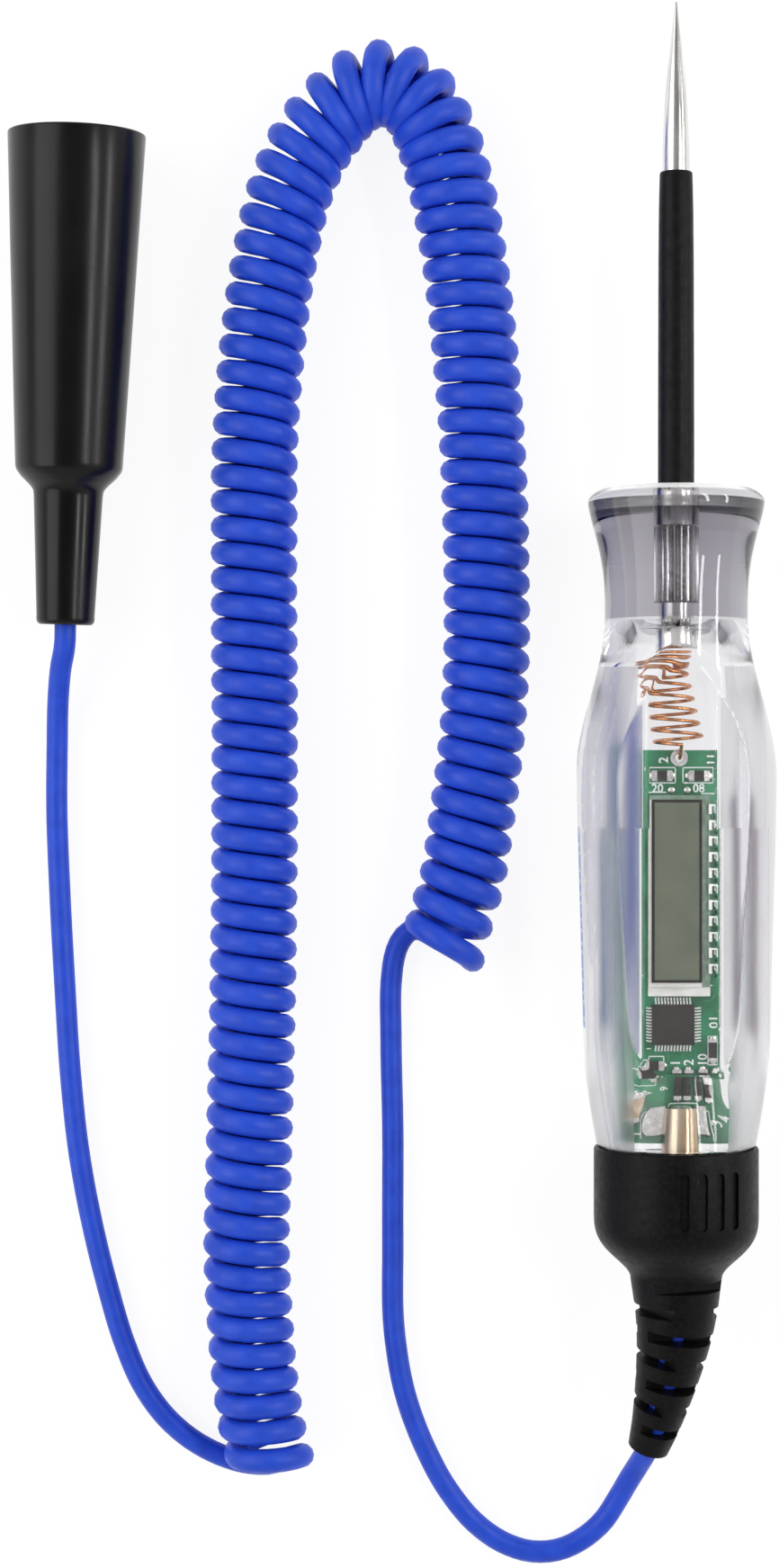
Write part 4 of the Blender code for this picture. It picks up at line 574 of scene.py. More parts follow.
def tube_curve(name, points, radius, material, factors=None, bevel=4):
    """Makes a round tube along world places, as a curve of one open spline."""
    curve = bpy.data.curves.new(name, "CURVE")
    curve.dimensions = "3D"
    curve.render_resolution_u = 0
    curve.bevel_depth = radius * MM
    curve.bevel_resolution = bevel
    curve.use_fill_caps = True
    spline = curve.splines.new("POLY")
    spline.points.add(len(points) - 1)
    for index, point in enumerate(points):
        spline.points[index].co = (*point, 1.0)
        spline.points[index].radius = factors[index] if factors else 1.0
    spline.use_smooth = True
    curve.materials.append(material)
    return link(bpy.data.objects.new(name, curve))


# Cord: the relief's route is sideways, back and up from its root, the others are in the world
RELIEF_ROUTE = (
    (0.0, 0.0, 0.0), (0.0, 5.0, 0.0), (-0.35, 9.5, -0.3), (-1.0, 14.0, -0.9), (-1.9, 19.0, -1.9),
    (-2.85, 23.5, -3.1), (-4.05, 28.1, -4.6),
)
HANDLE_TAIL_ROUTE = (
    (-5.5, -119.2, 6.2), (-6.8, -121.9, 4.4), (-8.4, -125.2, 2.8), (-11.0, -129.4, 1.9), (-14.0, -132.0, 1.85),
    (-18.0, -133.9, 1.85), (-22.7, -134.2, 1.85), (-27.5, -132.6, 1.85), (-31.5, -129.8, 1.85),
    (-36.0, -124.5, 1.85), (-40.2, -116.8, 1.85), (-43.3, -108.3, 1.85), (-45.0, -98.7, 1.85),
    (-45.3, -83.2, 1.85), (-45.3, -65.0, 1.85), (-45.6, -50.0, 1.85), (-45.5, -40.0, 1.85),
    (-45.1, -37.0, 1.85), (-44.2, -34.4, 1.9), (-42.4, -32.4, 1.95),
)
COIL_ROUTE = (
    (-37.2, -36.3), (-36.6, -32.6), (-35.5, -29.0), (-34.2, -24.5), (-32.5, -14.0), (-30.9, -1.0), (-30.1, 12.5),
    (-30.1, 25.0), (-30.7, 45.0), (-31.9, 61.0), (-33.6, 76.0), (-35.9, 88.8), (-38.6, 97.6), (-41.9, 103.1),
    (-45.9, 105.2), (-50.3, 104.4), (-54.6, 100.7), (-58.6, 95.5), (-61.6, 88.9), (-64.3, 78.0), (-66.3, 64.0),
    (-67.6, 48.0), (-67.8, 30.0), (-67.7, 0.0), (-67.8, -27.0), (-68.1, -46.0), (-68.7, -70.0), (-69.0, -85.0),
    (-68.4, -96.5), (-67.4, -107.0), (-66.0, -115.0), (-64.6, -119.6),
)
CLIP_TAIL_ROUTE = (
    (-69.6, -119.6, 1.85), (-73.0, -118.6, 1.85), (-77.9, -116.1, 1.85), (-82.3, -112.4, 1.85),
    (-86.3, -106.9, 1.85), (-89.3, -100.0, 1.85), (-92.0, -91.0, 1.85), (-94.7, -80.0, 1.85),
    (-96.8, -68.5, 1.85), (-98.1, -56.6, 1.85), (-99.1, -41.0, 1.85), (-99.9, -26.0, 1.85),
    (-100.4, -12.0, 1.85), (-100.3, -2.1, 2.1), (-100.0, 5.3, 3.6), (-99.4, 10.2, 5.5),
)
COIL_POINTS_PER_TURN = 24
COIL_STEPS = 2400
COIL_FRAME_REACH = 13.0
COIL_LEAN = math.radians(9.0)
COIL_FIRST_SHIFT = 1.9
CORD_PARTS = 8
CORD_SPACING = 1.35
CORD_SWELL_LENGTH = 12.0
CORD_START = 1.05


def coil_pitch(along, total):
    """Gives the distance between turns, wider at both ends."""
    left = total - along
    return COIL_PITCH + 0.9 * math.exp(-(along / 11) ** 2) + 1.1 * math.exp(-(left / 5) ** 2)


def turn_point(axis, lengths, along, turn):
    """Gives the wire's place at a distance along the axis, for a count of turns from the bottom."""
    behind, ahead = max(0.0, along - COIL_FRAME_REACH), min(lengths[-1], along + COIL_FRAME_REACH)
    heading = (point_at(axis, lengths, ahead) - point_at(axis, lengths, behind)).normalized()
    lean = COIL_LEAN * math.exp(-(along / 7) ** 2)
    side = Matrix.Rotation(-lean, 3, "Z") @ heading.cross(UP)
    angle = math.tau * (turn - 0.25)
    centre = point_at(axis, lengths, along)
    place = centre + (side * math.cos(angle) + UP * math.sin(angle)) * COIL_TURN_RADIUS
    return place + heading * COIL_FIRST_SHIFT * (1.0 - ease_step(turn * 4.0))


def coil_points():
    """Winds the curly part about its axis, as world places from the tester to the clip."""
    axis = smooth_line([(x, y, COIL_HEIGHT) for x, y in COIL_ROUTE], 24)
    lengths = lengths_of(axis)
    total = lengths[-1]
    turned = [0.0]
    for index in range(COIL_STEPS):
        pitch = coil_pitch(total * (index + 0.5) / COIL_STEPS, total)
        turned.append(turned[-1] + total / COIL_STEPS / pitch)
    scale = COIL_TURNS / turned[-1]
    points = []
    index = 0
    for part in range(COIL_TURNS * COIL_POINTS_PER_TURN + 1):
        turn = part / COIL_POINTS_PER_TURN
        while index < COIL_STEPS - 1 and turned[index + 1] * scale < turn:
            index += 1
        share = (turn / scale - turned[index]) / (turned[index + 1] - turned[index])
        along = total * (index + share) / COIL_STEPS
        points.append(turn_point(axis, lengths, along, turn) * MM)
    return points


def relief_route():
    """Gives the relief's centreline as world places."""
    return [on_tester(side, RELIEF_ROOT + back, up) for side, back, up in RELIEF_ROUTE]


def make_cord(made, clip_frame):
    """Makes the whole cord as one curve: straight, curly, straight."""
    relief = relief_route()
    lead = [on_tester(0.0, RELIEF_ROOT - CORD_START, 0.0)] + relief
    lead += [Vector(point) * MM for point in HANDLE_TAIL_ROUTE]
    turns = coil_points()
    tail = [Vector(point) * MM for point in CLIP_TAIL_ROUTE]
    for distance in (BOOT_LENGTH + 3.0, BOOT_LENGTH, BOOT_LENGTH - 3.0, (BOOT_LENGTH + JACKET_END) / 2, JACKET_END):
        tail.append(clip_frame @ Vector((0.0, -distance, 0.0)))
    line = smooth_line(lead + turns + tail, CORD_PARTS)
    lengths = lengths_of(line)
    coil_start = lengths[CORD_PARTS * len(lead)]
    coil_end = lengths[CORD_PARTS * (len(lead) + len(turns) - 1)]
    points = even_spaced(line, CORD_SPACING * MM)
    swell = COIL_WIRE / CORD_RADIUS - 1.0
    factors = []
    for index in range(len(points)):
        along = lengths[-1] * index / (len(points) - 1)
        inside = [ease_step(part / (CORD_SWELL_LENGTH * MM)) for part in (along - coil_start, coil_end - along)]
        factors.append(1.0 + swell * inside[0] * inside[1])
    cord = tube_curve("cord", points, CORD_RADIUS, made["cord"], factors)
    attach(cord, "tester")
    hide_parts("cord_handle_tail", "cord_coil", "cord_clip_tail")


# Handle
FLARE_STATIONS = (0.0, 0.03, 0.1, 0.22, 0.4, 0.65, 0.95, 1.3, 1.75, FLARE_LENGTH)
RING_RUNS = ((FLARE_LENGTH, 84.0, 110), (84.0, HANDLE_LENGTH - 0.2, 80))
REAR_BORE = (
    (SPIGOT_END, SPIGOT_RADIUS), (SPIGOT_END, BORE_RADIUS), (109.0, BORE_RADIUS), (103.8, BORE_RADIUS),
    (99.0, BORE_RADIUS), (93.0, BORE_RADIUS),
)
BORE_FLAT_END = 92.95
SHANK_BORE = ((21.15, 1.8), (18.42, 1.8), (18.36, 2.05), (10.0, 2.05), (0.0, 2.05))
EDGE_OFFSETS = (-0.6, -0.35, -0.15, 0.0, 0.15, 0.35, 0.6)
EDGE_BLEND = 0.22
SIDE_EDGE_BLEND = 0.16
BORE_EDGE_BLEND = 0.25
FLAT_FADE = 91.0
FRONT_SATIN = 0.9
PALE_FRONT = 3.5
PALE_REAR = 21.0


def handle_radius(station):
    """Gives the handle's turned radius at a station."""
    if station < FLARE_LENGTH:
        rest = 1.0 - station / FLARE_LENGTH
        return FRONT_RADIUS + (FLARE_RADIUS - FRONT_RADIUS) * (1.0 - rest ** 2.4) ** 0.75
    if station < WAIST_START:
        share = (station - FLARE_LENGTH) / (WAIST_START - FLARE_LENGTH)
        return FLARE_RADIUS - (FLARE_RADIUS - WAIST_RADIUS) * wave_step(share ** (1.0 / 1.5))
    if station < WAIST_END:
        return WAIST_RADIUS
    if station < GRIP_START:
        share = (GRIP_START - station) / (GRIP_START - WAIST_END)
        return GRIP_RADIUS + (WAIST_RADIUS - GRIP_RADIUS) * wave_step(share)
    if station < HEEL_START:
        share = (station - GRIP_START) / (HEEL_START - GRIP_START)
        return GRIP_RADIUS - (GRIP_RADIUS - HEEL_RADIUS) * wave_step(share)
    share = (station - HEEL_START) / (HANDLE_LENGTH - HEEL_START)
    return HEEL_RADIUS - HEEL_DROP * share ** 1.5


def flat_height(station):
    """Gives the height of the wide flats, with their concave run-out at the rear."""
    if station < WAIST_START:
        return NO_FLAT
    back = max(0.0, station - RUN_OUT_START)
    return FLAT_HEIGHT + RUN_OUT_RADIUS - math.sqrt(RUN_OUT_RADIUS ** 2 - back ** 2)


def side_width(station):
    """Gives the half width between the narrow side flats."""
    return SIDE_FLAT_WIDTH - SIDE_FLAT_TAPER * (station - GRIP_START)


def soft_min(first, second, blend):
    """Gives the lower of two values, rounded where they meet."""
    near = max(blend - abs(first - second), 0.0) / blend
    return min(first, second) - near * near * blend / 4


def ring_angles(radius, width, height):
    """Gives a ring's angles, with lines that follow the edges of its flats."""
    first = math.acos(min(math.cos(math.radians(6.0)), width / radius))
    second = math.asin(min(math.sin(math.radians(84.0)), height / radius))
    near = [offset / radius for offset in EDGE_OFFSETS]
    quarter = [(first + near[0]) * step / 5 for step in range(5)]
    quarter += [first + offset for offset in near]
    start, end = first + near[-1], second + near[0]
    quarter += [start + (end - start) * step / 24 for step in range(1, 24)]
    quarter += [second + offset for offset in near]
    start = second + near[-1]
    quarter += [start + (math.pi / 2 - start) * step / 20 for step in range(1, 21)]
    whole = quarter + [math.pi - angle for angle in quarter[-2::-1]]
    whole += [math.pi + angle for angle in quarter[1:]]
    return whole + [math.tau - angle for angle in quarter[-2:0:-1]]


def handle_ring(station):
    """Gives one outer ring with its four flats and softened edges."""
    radius, height, width = handle_radius(station), flat_height(station), side_width(station)
    blend = EDGE_BLEND + 2.8 * ease_step((station - FLAT_FADE) / 4.5)
    even = ease_step((station - FLAT_FADE) / 3.0)
    creased = ring_angles(radius, width, height)
    ring = []
    for index, crease in enumerate(creased):
        angle = crease + (math.tau * index / len(creased) - crease) * even
        across, up = abs(math.cos(angle)), abs(math.sin(angle))
        reach = soft_min(radius, height / max(up, 1e-6), blend)
        reach = soft_min(reach, width / max(across, 1e-6), SIDE_EDGE_BLEND)
        ring.append(on_tester(reach * math.cos(angle), station, reach * math.sin(angle)))
    return ring


def bore_ring(station, radius, height):
    """Gives one ring of the bore, flat above and below."""
    ring = []
    for angle in ring_angles(radius, NO_FLAT, BORE_FLAT):
        reach = soft_min(radius, height / max(abs(math.sin(angle)), 1e-6), BORE_EDGE_BLEND)
        ring.append(on_tester(reach * math.cos(angle), station, reach * math.sin(angle)))
    return ring


def handle_slot(face):
    """Gives a handle face's material: 0 clear, 1 satin in the bore and on the front, 2 clear and paler."""
    centre = (face.calc_center_median() - on_tester(0.0, 0.0, 0.0)) / MM
    station, reach = -centre.y, math.hypot(centre.x, centre.z)
    in_bore = reach < BORE_RADIUS + 0.053 and abs(centre.z) < BORE_FLAT - 0.6 and station > CAVITY_CONE_END
    if in_bore or (station < FRONT_SATIN and reach > 3.0):
        return 1
    return 2 if station > PALE_REAR or station < PALE_FRONT else 0


def make_handle(made):
    """Makes the clear handle with its bore as one closed body."""
    stations = list(FLARE_STATIONS)
    for start, end, count in RING_RUNS:
        stations += [start + (end - start) * step / count for step in range(1, count + 1)]
    rings = [handle_ring(station) for station in stations]
    plain = [(HANDLE_LENGTH, handle_radius(HANDLE_LENGTH) - 0.18), (HANDLE_LENGTH, SPIGOT_RADIUS), *REAR_BORE]
    flat = [(BORE_FLAT_END, BORE_RADIUS)]
    flat += [(BORE_FLAT_END - (BORE_FLAT_END - BORE_STEP) * step / 10, BORE_RADIUS) for step in range(1, 11)]
    flat += [(BORE_STEP - (BORE_STEP - CAVITY_CONE_END) * step / 6, FRONT_BORE_RADIUS) for step in range(7)]
    cone_drop = FRONT_BORE_RADIUS - CAVITY_RADIUS
    flat += [(CAVITY_CONE_END - CAVITY_CONE_LENGTH * step / 10, FRONT_BORE_RADIUS - cone_drop * step / 10)
             for step in range(1, 11)]
    for part, height in ((plain, NO_FLAT), (flat, BORE_FLAT), (SHANK_BORE, NO_FLAT)):
        rings += [bore_ring(station, radius, height) for station, radius in part]
    shape = bmesh.new()
    for face in skin(shape, rings, closed=True):
        face.material_index = handle_slot(face)
    finish_piece("handle_clear", shape, [made["clear"], made["satin"], made["clear_grip"]], ["handle"],
                 28.0)


# Side marks: name, side, bar material, first and last station and half height of the bars
SIDE_MARKS = (("marks_left", -1, "blue", 55.0, 85.0, 1.3), ("marks_right", 1, "red", 50.0, 86.0, 0.6))
STRIP_PARTS = 12
STRIP_HALF_HEIGHT = 3.0
BAR_LENGTHS = (1.5, 0.8, 2.1, 1.1)
BAR_GAP = 0.6


def make_side_marks(made):
    """Puts a row of plain bars on each side flat where the real one is printed."""
    for name, sign, key, first, last, tall in SIDE_MARKS:
        shape = bmesh.new()
        for step in range(STRIP_PARTS):
            start, end = (first - 1.0 + (last + 1.5 - first) * (step + k) / STRIP_PARTS for k in (0, 1))
            corners = [(start, -STRIP_HALF_HEIGHT), (end, -STRIP_HALF_HEIGHT), (end, STRIP_HALF_HEIGHT),
                       (start, STRIP_HALF_HEIGHT)]
            rings = [[on_tester(sign * (side_width(station) + part), station, height) for station, height in corners]
                     for part in (-0.01, 0.01)]
            skin(shape, rings, slot=1)
        station = first
        index = 0
        while station < last:
            length = BAR_LENGTHS[index % len(BAR_LENGTHS)]
            outer = side_width(station + length / 2)
            ends = (on_tester(sign * (outer - 0.06), station + length, -tall),
                    on_tester(sign * (outer + 0.06), station, tall))
            box(shape, [min(pair) for pair in zip(*ends)], [max(pair) for pair in zip(*ends)])
            station += length + BAR_GAP
            index += 1
        finish_piece(name, shape, [made[key], made["base"]])


# Probe, sleeve and spring: the probe's rows are station, radius and whether it is splined
PROBE_PROFILE = (
    (-78.0, 0.0, 0), (-78.0, 0.12, 0), (-77.9, 0.22, 0), (-74.0, 0.62, 0), (-70.0, 1.05, 0), (-66.7, 1.42, 0),
    (-63.0, 1.76, 0), (-60.6, 1.93, 0), (-57.5, 2.08, 0), (-53.8, 2.2, 0), (-40.0, 2.2, 0), (-20.0, 2.2, 0),
    (0.1, 2.2, 0), (0.1, 2.42, 0), (0.18, 2.5, 0), (5.12, 2.5, 0), (5.2, 2.42, 0), (5.22, 2.3, 1),
    (5.45, 2.45, 1), (11.0, 2.45, 1), (18.1, 2.45, 1), (18.38, 2.25, 1), (18.4, 1.9, 0), (21.45, 1.9, 0),
    (21.45, 3.18, 0), (21.57, 3.3, 0), (24.3, 3.3, 0), (25.6, 2.9, 0), (26.12, 2.58, 0), (26.2, 2.5, 0),
    (26.2, 0.02, 0),
)
PROBE_SEGMENTS = 216
SPLINES = 18
SPLINE_DEPTH = 0.34
SPLINE_START = 5.3
SPLINE_END = 18.3
# Faces of the splined part nearer the axis than this are in the notches and take the painted shade
NOTCH_SHADE_REACH = 2.3
SLEEVE_PROFILE = (
    (-50.7, 2.31), (-50.7, 2.45), (-50.62, 2.56), (-50.4, 2.62), (-49.0, 2.66), (-44.7, 2.76), (-36.0, 2.83),
    (-22.0, 2.87), (-8.0, 2.9), (-1.0, 2.9), (-0.2, 2.89), (-0.1, 2.8), (-0.1, 2.31),
)
SPRING_START = 26.775
SPRING_RADIUS = 3.9
SPRING_WIRE = 0.275
CLOSED_TURNS = 3
CLOSED_PITCH = 0.8
OPEN_TURNS = 6
OPEN_PITCH = (BOARD_FRONT - 0.8 - SPRING_START - CLOSED_TURNS * CLOSED_PITCH) / OPEN_TURNS
SPRING_POINTS_PER_TURN = 26
SPRING_SIDE = -2.4
SPRING_END_SIDE = 0.35
SPRING_LIFT = 0.6
SPRING_LANDING = BOARD_FRONT + 1.25


def make_probe(made):
    """Turns the needle, its splined shank and its head, with painted shade as darker steel in the spline notches."""
    rings = []
    for along, radius, splined in PROBE_PROFILE:
        ring = []
        for step in range(PROBE_SEGMENTS):
            angle = math.tau * step / PROBE_SEGMENTS
            crest = max(0.0, abs(math.sin(angle * SPLINES / 2)) - 0.35) / 0.65
            reach = max(radius - (SPLINE_DEPTH * crest if splined else 0.0), 0.02)
            ring.append(on_tester(reach * math.cos(angle), along, reach * math.sin(angle)))
        rings.append(ring)
    shape = bmesh.new()
    # Faces down in the spline notches take the darker steel, a painted shade
    for face in skin(shape, rings):
        centre = (face.calc_center_median() - on_tester(0.0, 0.0, 0.0)) / MM
        if SPLINE_START < -centre.y < SPLINE_END and math.hypot(centre.x, centre.z) < NOTCH_SHADE_REACH:
            face.material_index = 1
    finish_piece("probe_needle", shape, [made["steel"], made["notch_shade"]], ["probe"], 30.0)


def make_sleeve(made):
    """Makes the shrunk black sleeve, thinner at its rounded front."""
    shape = bmesh.new()
    skin(shape, [round_ring(TESTER, along, radius, 72) for along, radius in SLEEVE_PROFILE], closed=True)
    finish_piece("sleeve", shape, [made["sleeve"]], ["probe_sleeve"], 50.0)


def make_contact_spring(made):
    """Winds the copper spring from the probe's head to the eyelet."""
    points = []
    for step in range((CLOSED_TURNS + OPEN_TURNS) * SPRING_POINTS_PER_TURN):
        turns = step / SPRING_POINTS_PER_TURN
        opened = max(0.0, turns - CLOSED_TURNS)
        back = min(turns, CLOSED_TURNS) * CLOSED_PITCH + opened * OPEN_PITCH
        side = SPRING_SIDE + (SPRING_END_SIDE - SPRING_SIDE) * opened / OPEN_TURNS
        points.append(on_tester(side + SPRING_RADIUS * math.sin(math.tau * turns), SPRING_START + back,
                                SPRING_LIFT + SPRING_RADIUS * math.cos(math.tau * turns)))
    last_turn = on_tester(SPRING_END_SIDE, BOARD_FRONT - 0.8, SPRING_LIFT + SPRING_RADIUS)
    end = [on_tester(SPRING_END_SIDE, SPRING_LANDING - back, height)
           for back, height in ((1.2, 2.75), (0.0, 1.55), (0.0, -0.3))]
    points += even_spaced(smooth_line([last_turn] + end, 10), 0.5 * MM)
    piece = tube_curve("spring_wire", points, SPRING_WIRE, made["copper"], bevel=3)
    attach(piece, "tester")
    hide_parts("contact_spring")


# Board print: frames are left, front, right and rear edges, numbers are text, side, offset, size and turn
FRAMES = (
    (-4.6, 2.8, -0.25, 5.25), (0.98, 2.8, 5.9, 5.25), (4.95, 46.15, 6.75, 50.9), (-7.8, 50.1, -4.5, 52.4),
    (-4.5, 49.5, -2.1, 51.65),
)
CONTACT_OUTLINE = (
    (-5.6, 60.9), (-5.6, 57.2), (-2.1, 57.2), (-1.55, 56.45), (3.95, 56.45), (4.25, 57.4), (6.07, 57.4),
    (6.07, 61.2),
)
PRINT_WIDTH = 0.17
DASHES = (((-4.9, 6.75), (-1.8, 6.75), 0.2), ((4.0, 6.95), (6.3, 6.95), 0.2), ((4.2, 37.6), (5.6, 37.6), 0.17))
NUMBERS = (
    ("2", -2.05, 1.6, 2.1, 90), ("11", 5.6, 1.5, 2.0, 90), ("20", -3.1, 6.15, 1.9, 0), ("08", 3.5, 6.15, 1.9, 0),
    ("01", 6.0, 43.7, 2.2, 90), ("1", -0.2, 50.6, 2.2, 90), ("2", 1.95, 50.5, 2.2, 90),
    ("10", 4.15, 50.1, 2.1, 90), ("9", -2.75, 53.3, 2.1, 90), ("9", -5.5, 54.4, 1.6, 90),
    ("1", -6.15, 60.3, 1.8, 90), ("3", 6.95, 58.8, 1.8, 90), ("4", 8.2, 58.0, 1.8, 90), ("1", -4.55, 48.2, 1.2, 90),
)
PIN_OFFSETS = [9.4 + 2.54 * index for index in range(11)]

# Solder joints are side, offset, radius and height
SOLDER_JOINTS = (
    (-0.85, 6.4, 0.6, 0.3), (1.67, 6.4, 0.6, 0.3), (-7.2, 53.9, 0.34, 0.22), (-6.2, 53.9, 0.34, 0.22),
    (7.0, 51.6, 0.42, 0.3), (-4.1, 58.2, 0.5, 0.25), (-2.9, 60.2, 0.45, 0.25), (4.6, 58.4, 0.5, 0.28),
    (5.2, 60.4, 0.45, 0.25), *((6.49, offset, 0.3, 0.16) for offset in PIN_OFFSETS),
    *((side, offset, 0.3, 0.05) for side, offset in ((-8.0, 3.0), (7.6, 12.0), (7.8, 30.0), (-7.9, 36.0),
                                                     (-7.6, 42.0), (7.7, 45.0), (2.2, 52.0))),
)
TRACKS = (
    ((-7.9, 4.0), (-7.9, 34.0), (-6.6, 36.5), (-6.6, 41.0)), ((-8.5, 8.0), (-8.5, 46.0), (-7.4, 48.0)),
    ((7.5, 10.0), (7.5, 40.0), (5.9, 42.4), (4.6, 42.4)), ((8.2, 6.0), (8.2, 45.0), (7.3, 47.0)),
    ((6.8, 38.2), (5.4, 40.2), (4.4, 40.2)), ((-5.6, 43.2), (-6.6, 45.0), (-6.6, 49.0)),
    ((4.5, 46.6), (5.0, 47.6), (7.6, 52.6), (8.3, 55.0)), ((1.0, 48.8), (1.0, 50.8)),
    ((-1.4, 49.0), (-1.4, 52.2), (-0.9, 52.8)), ((-6.0, 54.5), (-4.2, 54.5), (-2.6, 56.0)),
    ((2.9, 49.0), (3.2, 50.6)), ((-8.4, 56.0), (-8.4, 60.5)), ((7.9, 56.0), (7.9, 61.0)),
)
TRACK_WIDTH = 0.28
TRACK_HEIGHT = -0.012


def add_line(shape, start, end, width):
    """Adds one printed line between two world places on the board."""
    along = (end - start).normalized()
    across = Vector((-along.y, along.x, 0.0)) * width * MM / 2
    start, end = start - along * width * MM / 2, end + along * width * MM / 2
    corners = [start - across, end - across, end + across, start + across]
    skin(shape, [[corner + UP * level * MM for corner in corners] for level in (0.01, 0.035)])


def add_route(shape, route, width, height=0.0):
    """Adds printed lines along a route of sides and offsets on the board."""
    places = [board_place(side, offset, height) for side, offset in route]
    for start, end in zip(places, places[1:]):
        add_line(shape, start, end, width)


def add_number(shape, number, side, offset, size, turn):
    """Adds a plain number, read upwards or across."""
    data = bpy.data.curves.new("number", "FONT")
    data.body = number
    data.size = size * MM
    data.align_x = "CENTER"
    data.align_y = "CENTER"
    data.offset = 0.035 * MM
    data.resolution_u = 3
    item = link(bpy.data.objects.new("number", data))
    graph = bpy.context.evaluated_depsgraph_get()
    mesh = bpy.data.meshes.new_from_object(item.evaluated_get(graph))
    mesh.transform(Matrix.Translation(board_place(side, offset, 0.04)) @ Matrix.Rotation(math.radians(turn), 4, "Z"))
    shape.from_mesh(mesh)
    bpy.data.objects.remove(item)
    bpy.data.meshes.remove(mesh)


def make_board_marks(made):
    """Prints the outlines and plain numbers that stand round the chips."""
    shape = bmesh.new()
    for left, front, right, rear in FRAMES:
        corners = [(left, front), (right, front), (right, rear), (left, rear), (left, front)]
        add_route(shape, corners, PRINT_WIDTH)
    add_route(shape, CONTACT_OUTLINE, PRINT_WIDTH)
    for start, end, width in DASHES:
        add_route(shape, (start, end), width)
    for row in NUMBERS:
        add_number(shape, *row)
    finish_piece("board_marks", shape, [made["ink"]])


def make_solder(made):
    """Drops the solder joints on the board."""
    shape = bmesh.new()
    for side, offset, radius, height in SOLDER_JOINTS:
        dome(shape, board_place(side, offset, 0.01), radius, height)
    finish_piece("board_solder", shape, [made["tin"]])


def make_tracks(made):
    """Lays the faint copper tracks under the green mask."""
    shape = bmesh.new()
    for track in TRACKS:
        add_route(shape, track, TRACK_WIDTH, TRACK_HEIGHT)
    finish_piece("board_tracks", shape, [made["track"]])


# Display: blocks are left, right, front and rear edges, bottom and material
GLASS_BLOCKS = (
    (-4.71, 3.79, 7.9, 37.7, 1.4, 0), (-4.71, 4.29, 7.2, 7.9, 1.4, 1), (3.79, 4.29, 7.9, 37.7, 1.4, 1),
    (-4.71, 3.79, 7.2, 39.3, 0.6, 0), (3.79, 5.19, 7.2, 37.8, 0.6, 1), (3.79, 5.19, 37.8, 39.3, 0.6, 0),
)
GLASS_THICKNESS = 0.7
WINDOW_LEFT, WINDOW_RIGHT, WINDOW_FRONT, WINDOW_REAR = -4.21, 3.79, 7.9, 37.0
WINDOW_LOW, WINDOW_HIGH, WINDOW_BORDER_TOP = 2.2, 2.36, 2.42
BORDER_WIDTH = 0.45

# A pin's blocks are left, right, front and rear edges, bottom, top and material; the last is a dark patch, a painted
# shadow between the pins
PIN_BLOCKS = (
    (4.9, 5.45, -0.8, 0.8, 1.4, 1.68, 0), (5.45, 6.29, -0.75, -0.45, 1.4, 1.6, 0),
    (6.29, 6.69, -0.72, 0.72, 0.2, 1.68, 0), (6.29, 6.69, -0.2, 0.2, -2.2, 0.2, 0),
    # Painted shadow between neighbouring pins
    (6.1, 6.5, 1.07, 1.45, 0.0, 0.5, 1),
)


def board_box(shape, left, right, front, rear, low, high, slot=0):
    """Adds a plain block on the board between its edges."""
    box(shape, board_place(left, rear, low), board_place(right, front, high), slot=slot)


def make_window(made):
    """Makes the display's two glasses and its window with a dark frame."""
    shape = bmesh.new()
    for left, right, front, rear, low, slot in GLASS_BLOCKS:
        board_box(shape, left, right, front, rear, low, low + GLASS_THICKNESS, slot)
    finish_piece("display_glass", shape, [made["ledge"], made["strip"]], ["lcd_rear_glass", "lcd_front_glass"])
    shape = bmesh.new()
    left, right = WINDOW_LEFT + BORDER_WIDTH, WINDOW_RIGHT - BORDER_WIDTH
    front, rear = WINDOW_FRONT + BORDER_WIDTH, WINDOW_REAR - BORDER_WIDTH
    for edges in ((WINDOW_LEFT, WINDOW_RIGHT, WINDOW_FRONT, front), (WINDOW_LEFT, WINDOW_RIGHT, rear, WINDOW_REAR),
                  (WINDOW_LEFT, left, front, rear), (right, WINDOW_RIGHT, front, rear)):
        board_box(shape, *edges, WINDOW_LOW, WINDOW_BORDER_TOP, 1)
    board_box(shape, left, right, front, rear, WINDOW_LOW, WINDOW_HIGH)
    finish_piece("window", shape, [made["window"], made["border_and_painted_shadow"]], ["lcd_polariser"])


def make_pins(made):
    """Makes the display's pins: a jaw on the glass, a bridge, a leg through the board and a dark patch beside each
    as a painted shadow.
    """
    shape = bmesh.new()
    for offset in PIN_OFFSETS:
        for left, right, front, rear, low, high, slot in PIN_BLOCKS:
            board_box(shape, left, right, offset + front, offset + rear, low, high, slot)
    piece = finish_piece("display_pins", shape, [made["lead"], made["border_and_painted_shadow"]], ["lcd_pin_row"])
    soften(piece, 0.05)


# Chips and the ground contact
CHIP_SIDE, CHIP_OFFSET, CHIP_HALF = -0.68, 44.1, 3.42
CHIP_CHAMFER = 0.12
CHIP_CORNER = 0.14
CHIP_LEVELS = ((0.15, CHIP_CHAMFER), (0.8, 0.0), (0.95, 0.0), (1.55, CHIP_CHAMFER))
LEAD_OUTLINE = (
    (3.4, 0.78), (3.8, 0.78), (3.95, 0.1), (4.5, 0.1), (4.5, 0.25), (4.08, 0.25), (3.93, 0.93), (3.4, 0.93),
)
LEADS_PER_SIDE = 12
LEAD_PITCH = 0.5
LEAD_HALF_WIDTH = 0.12

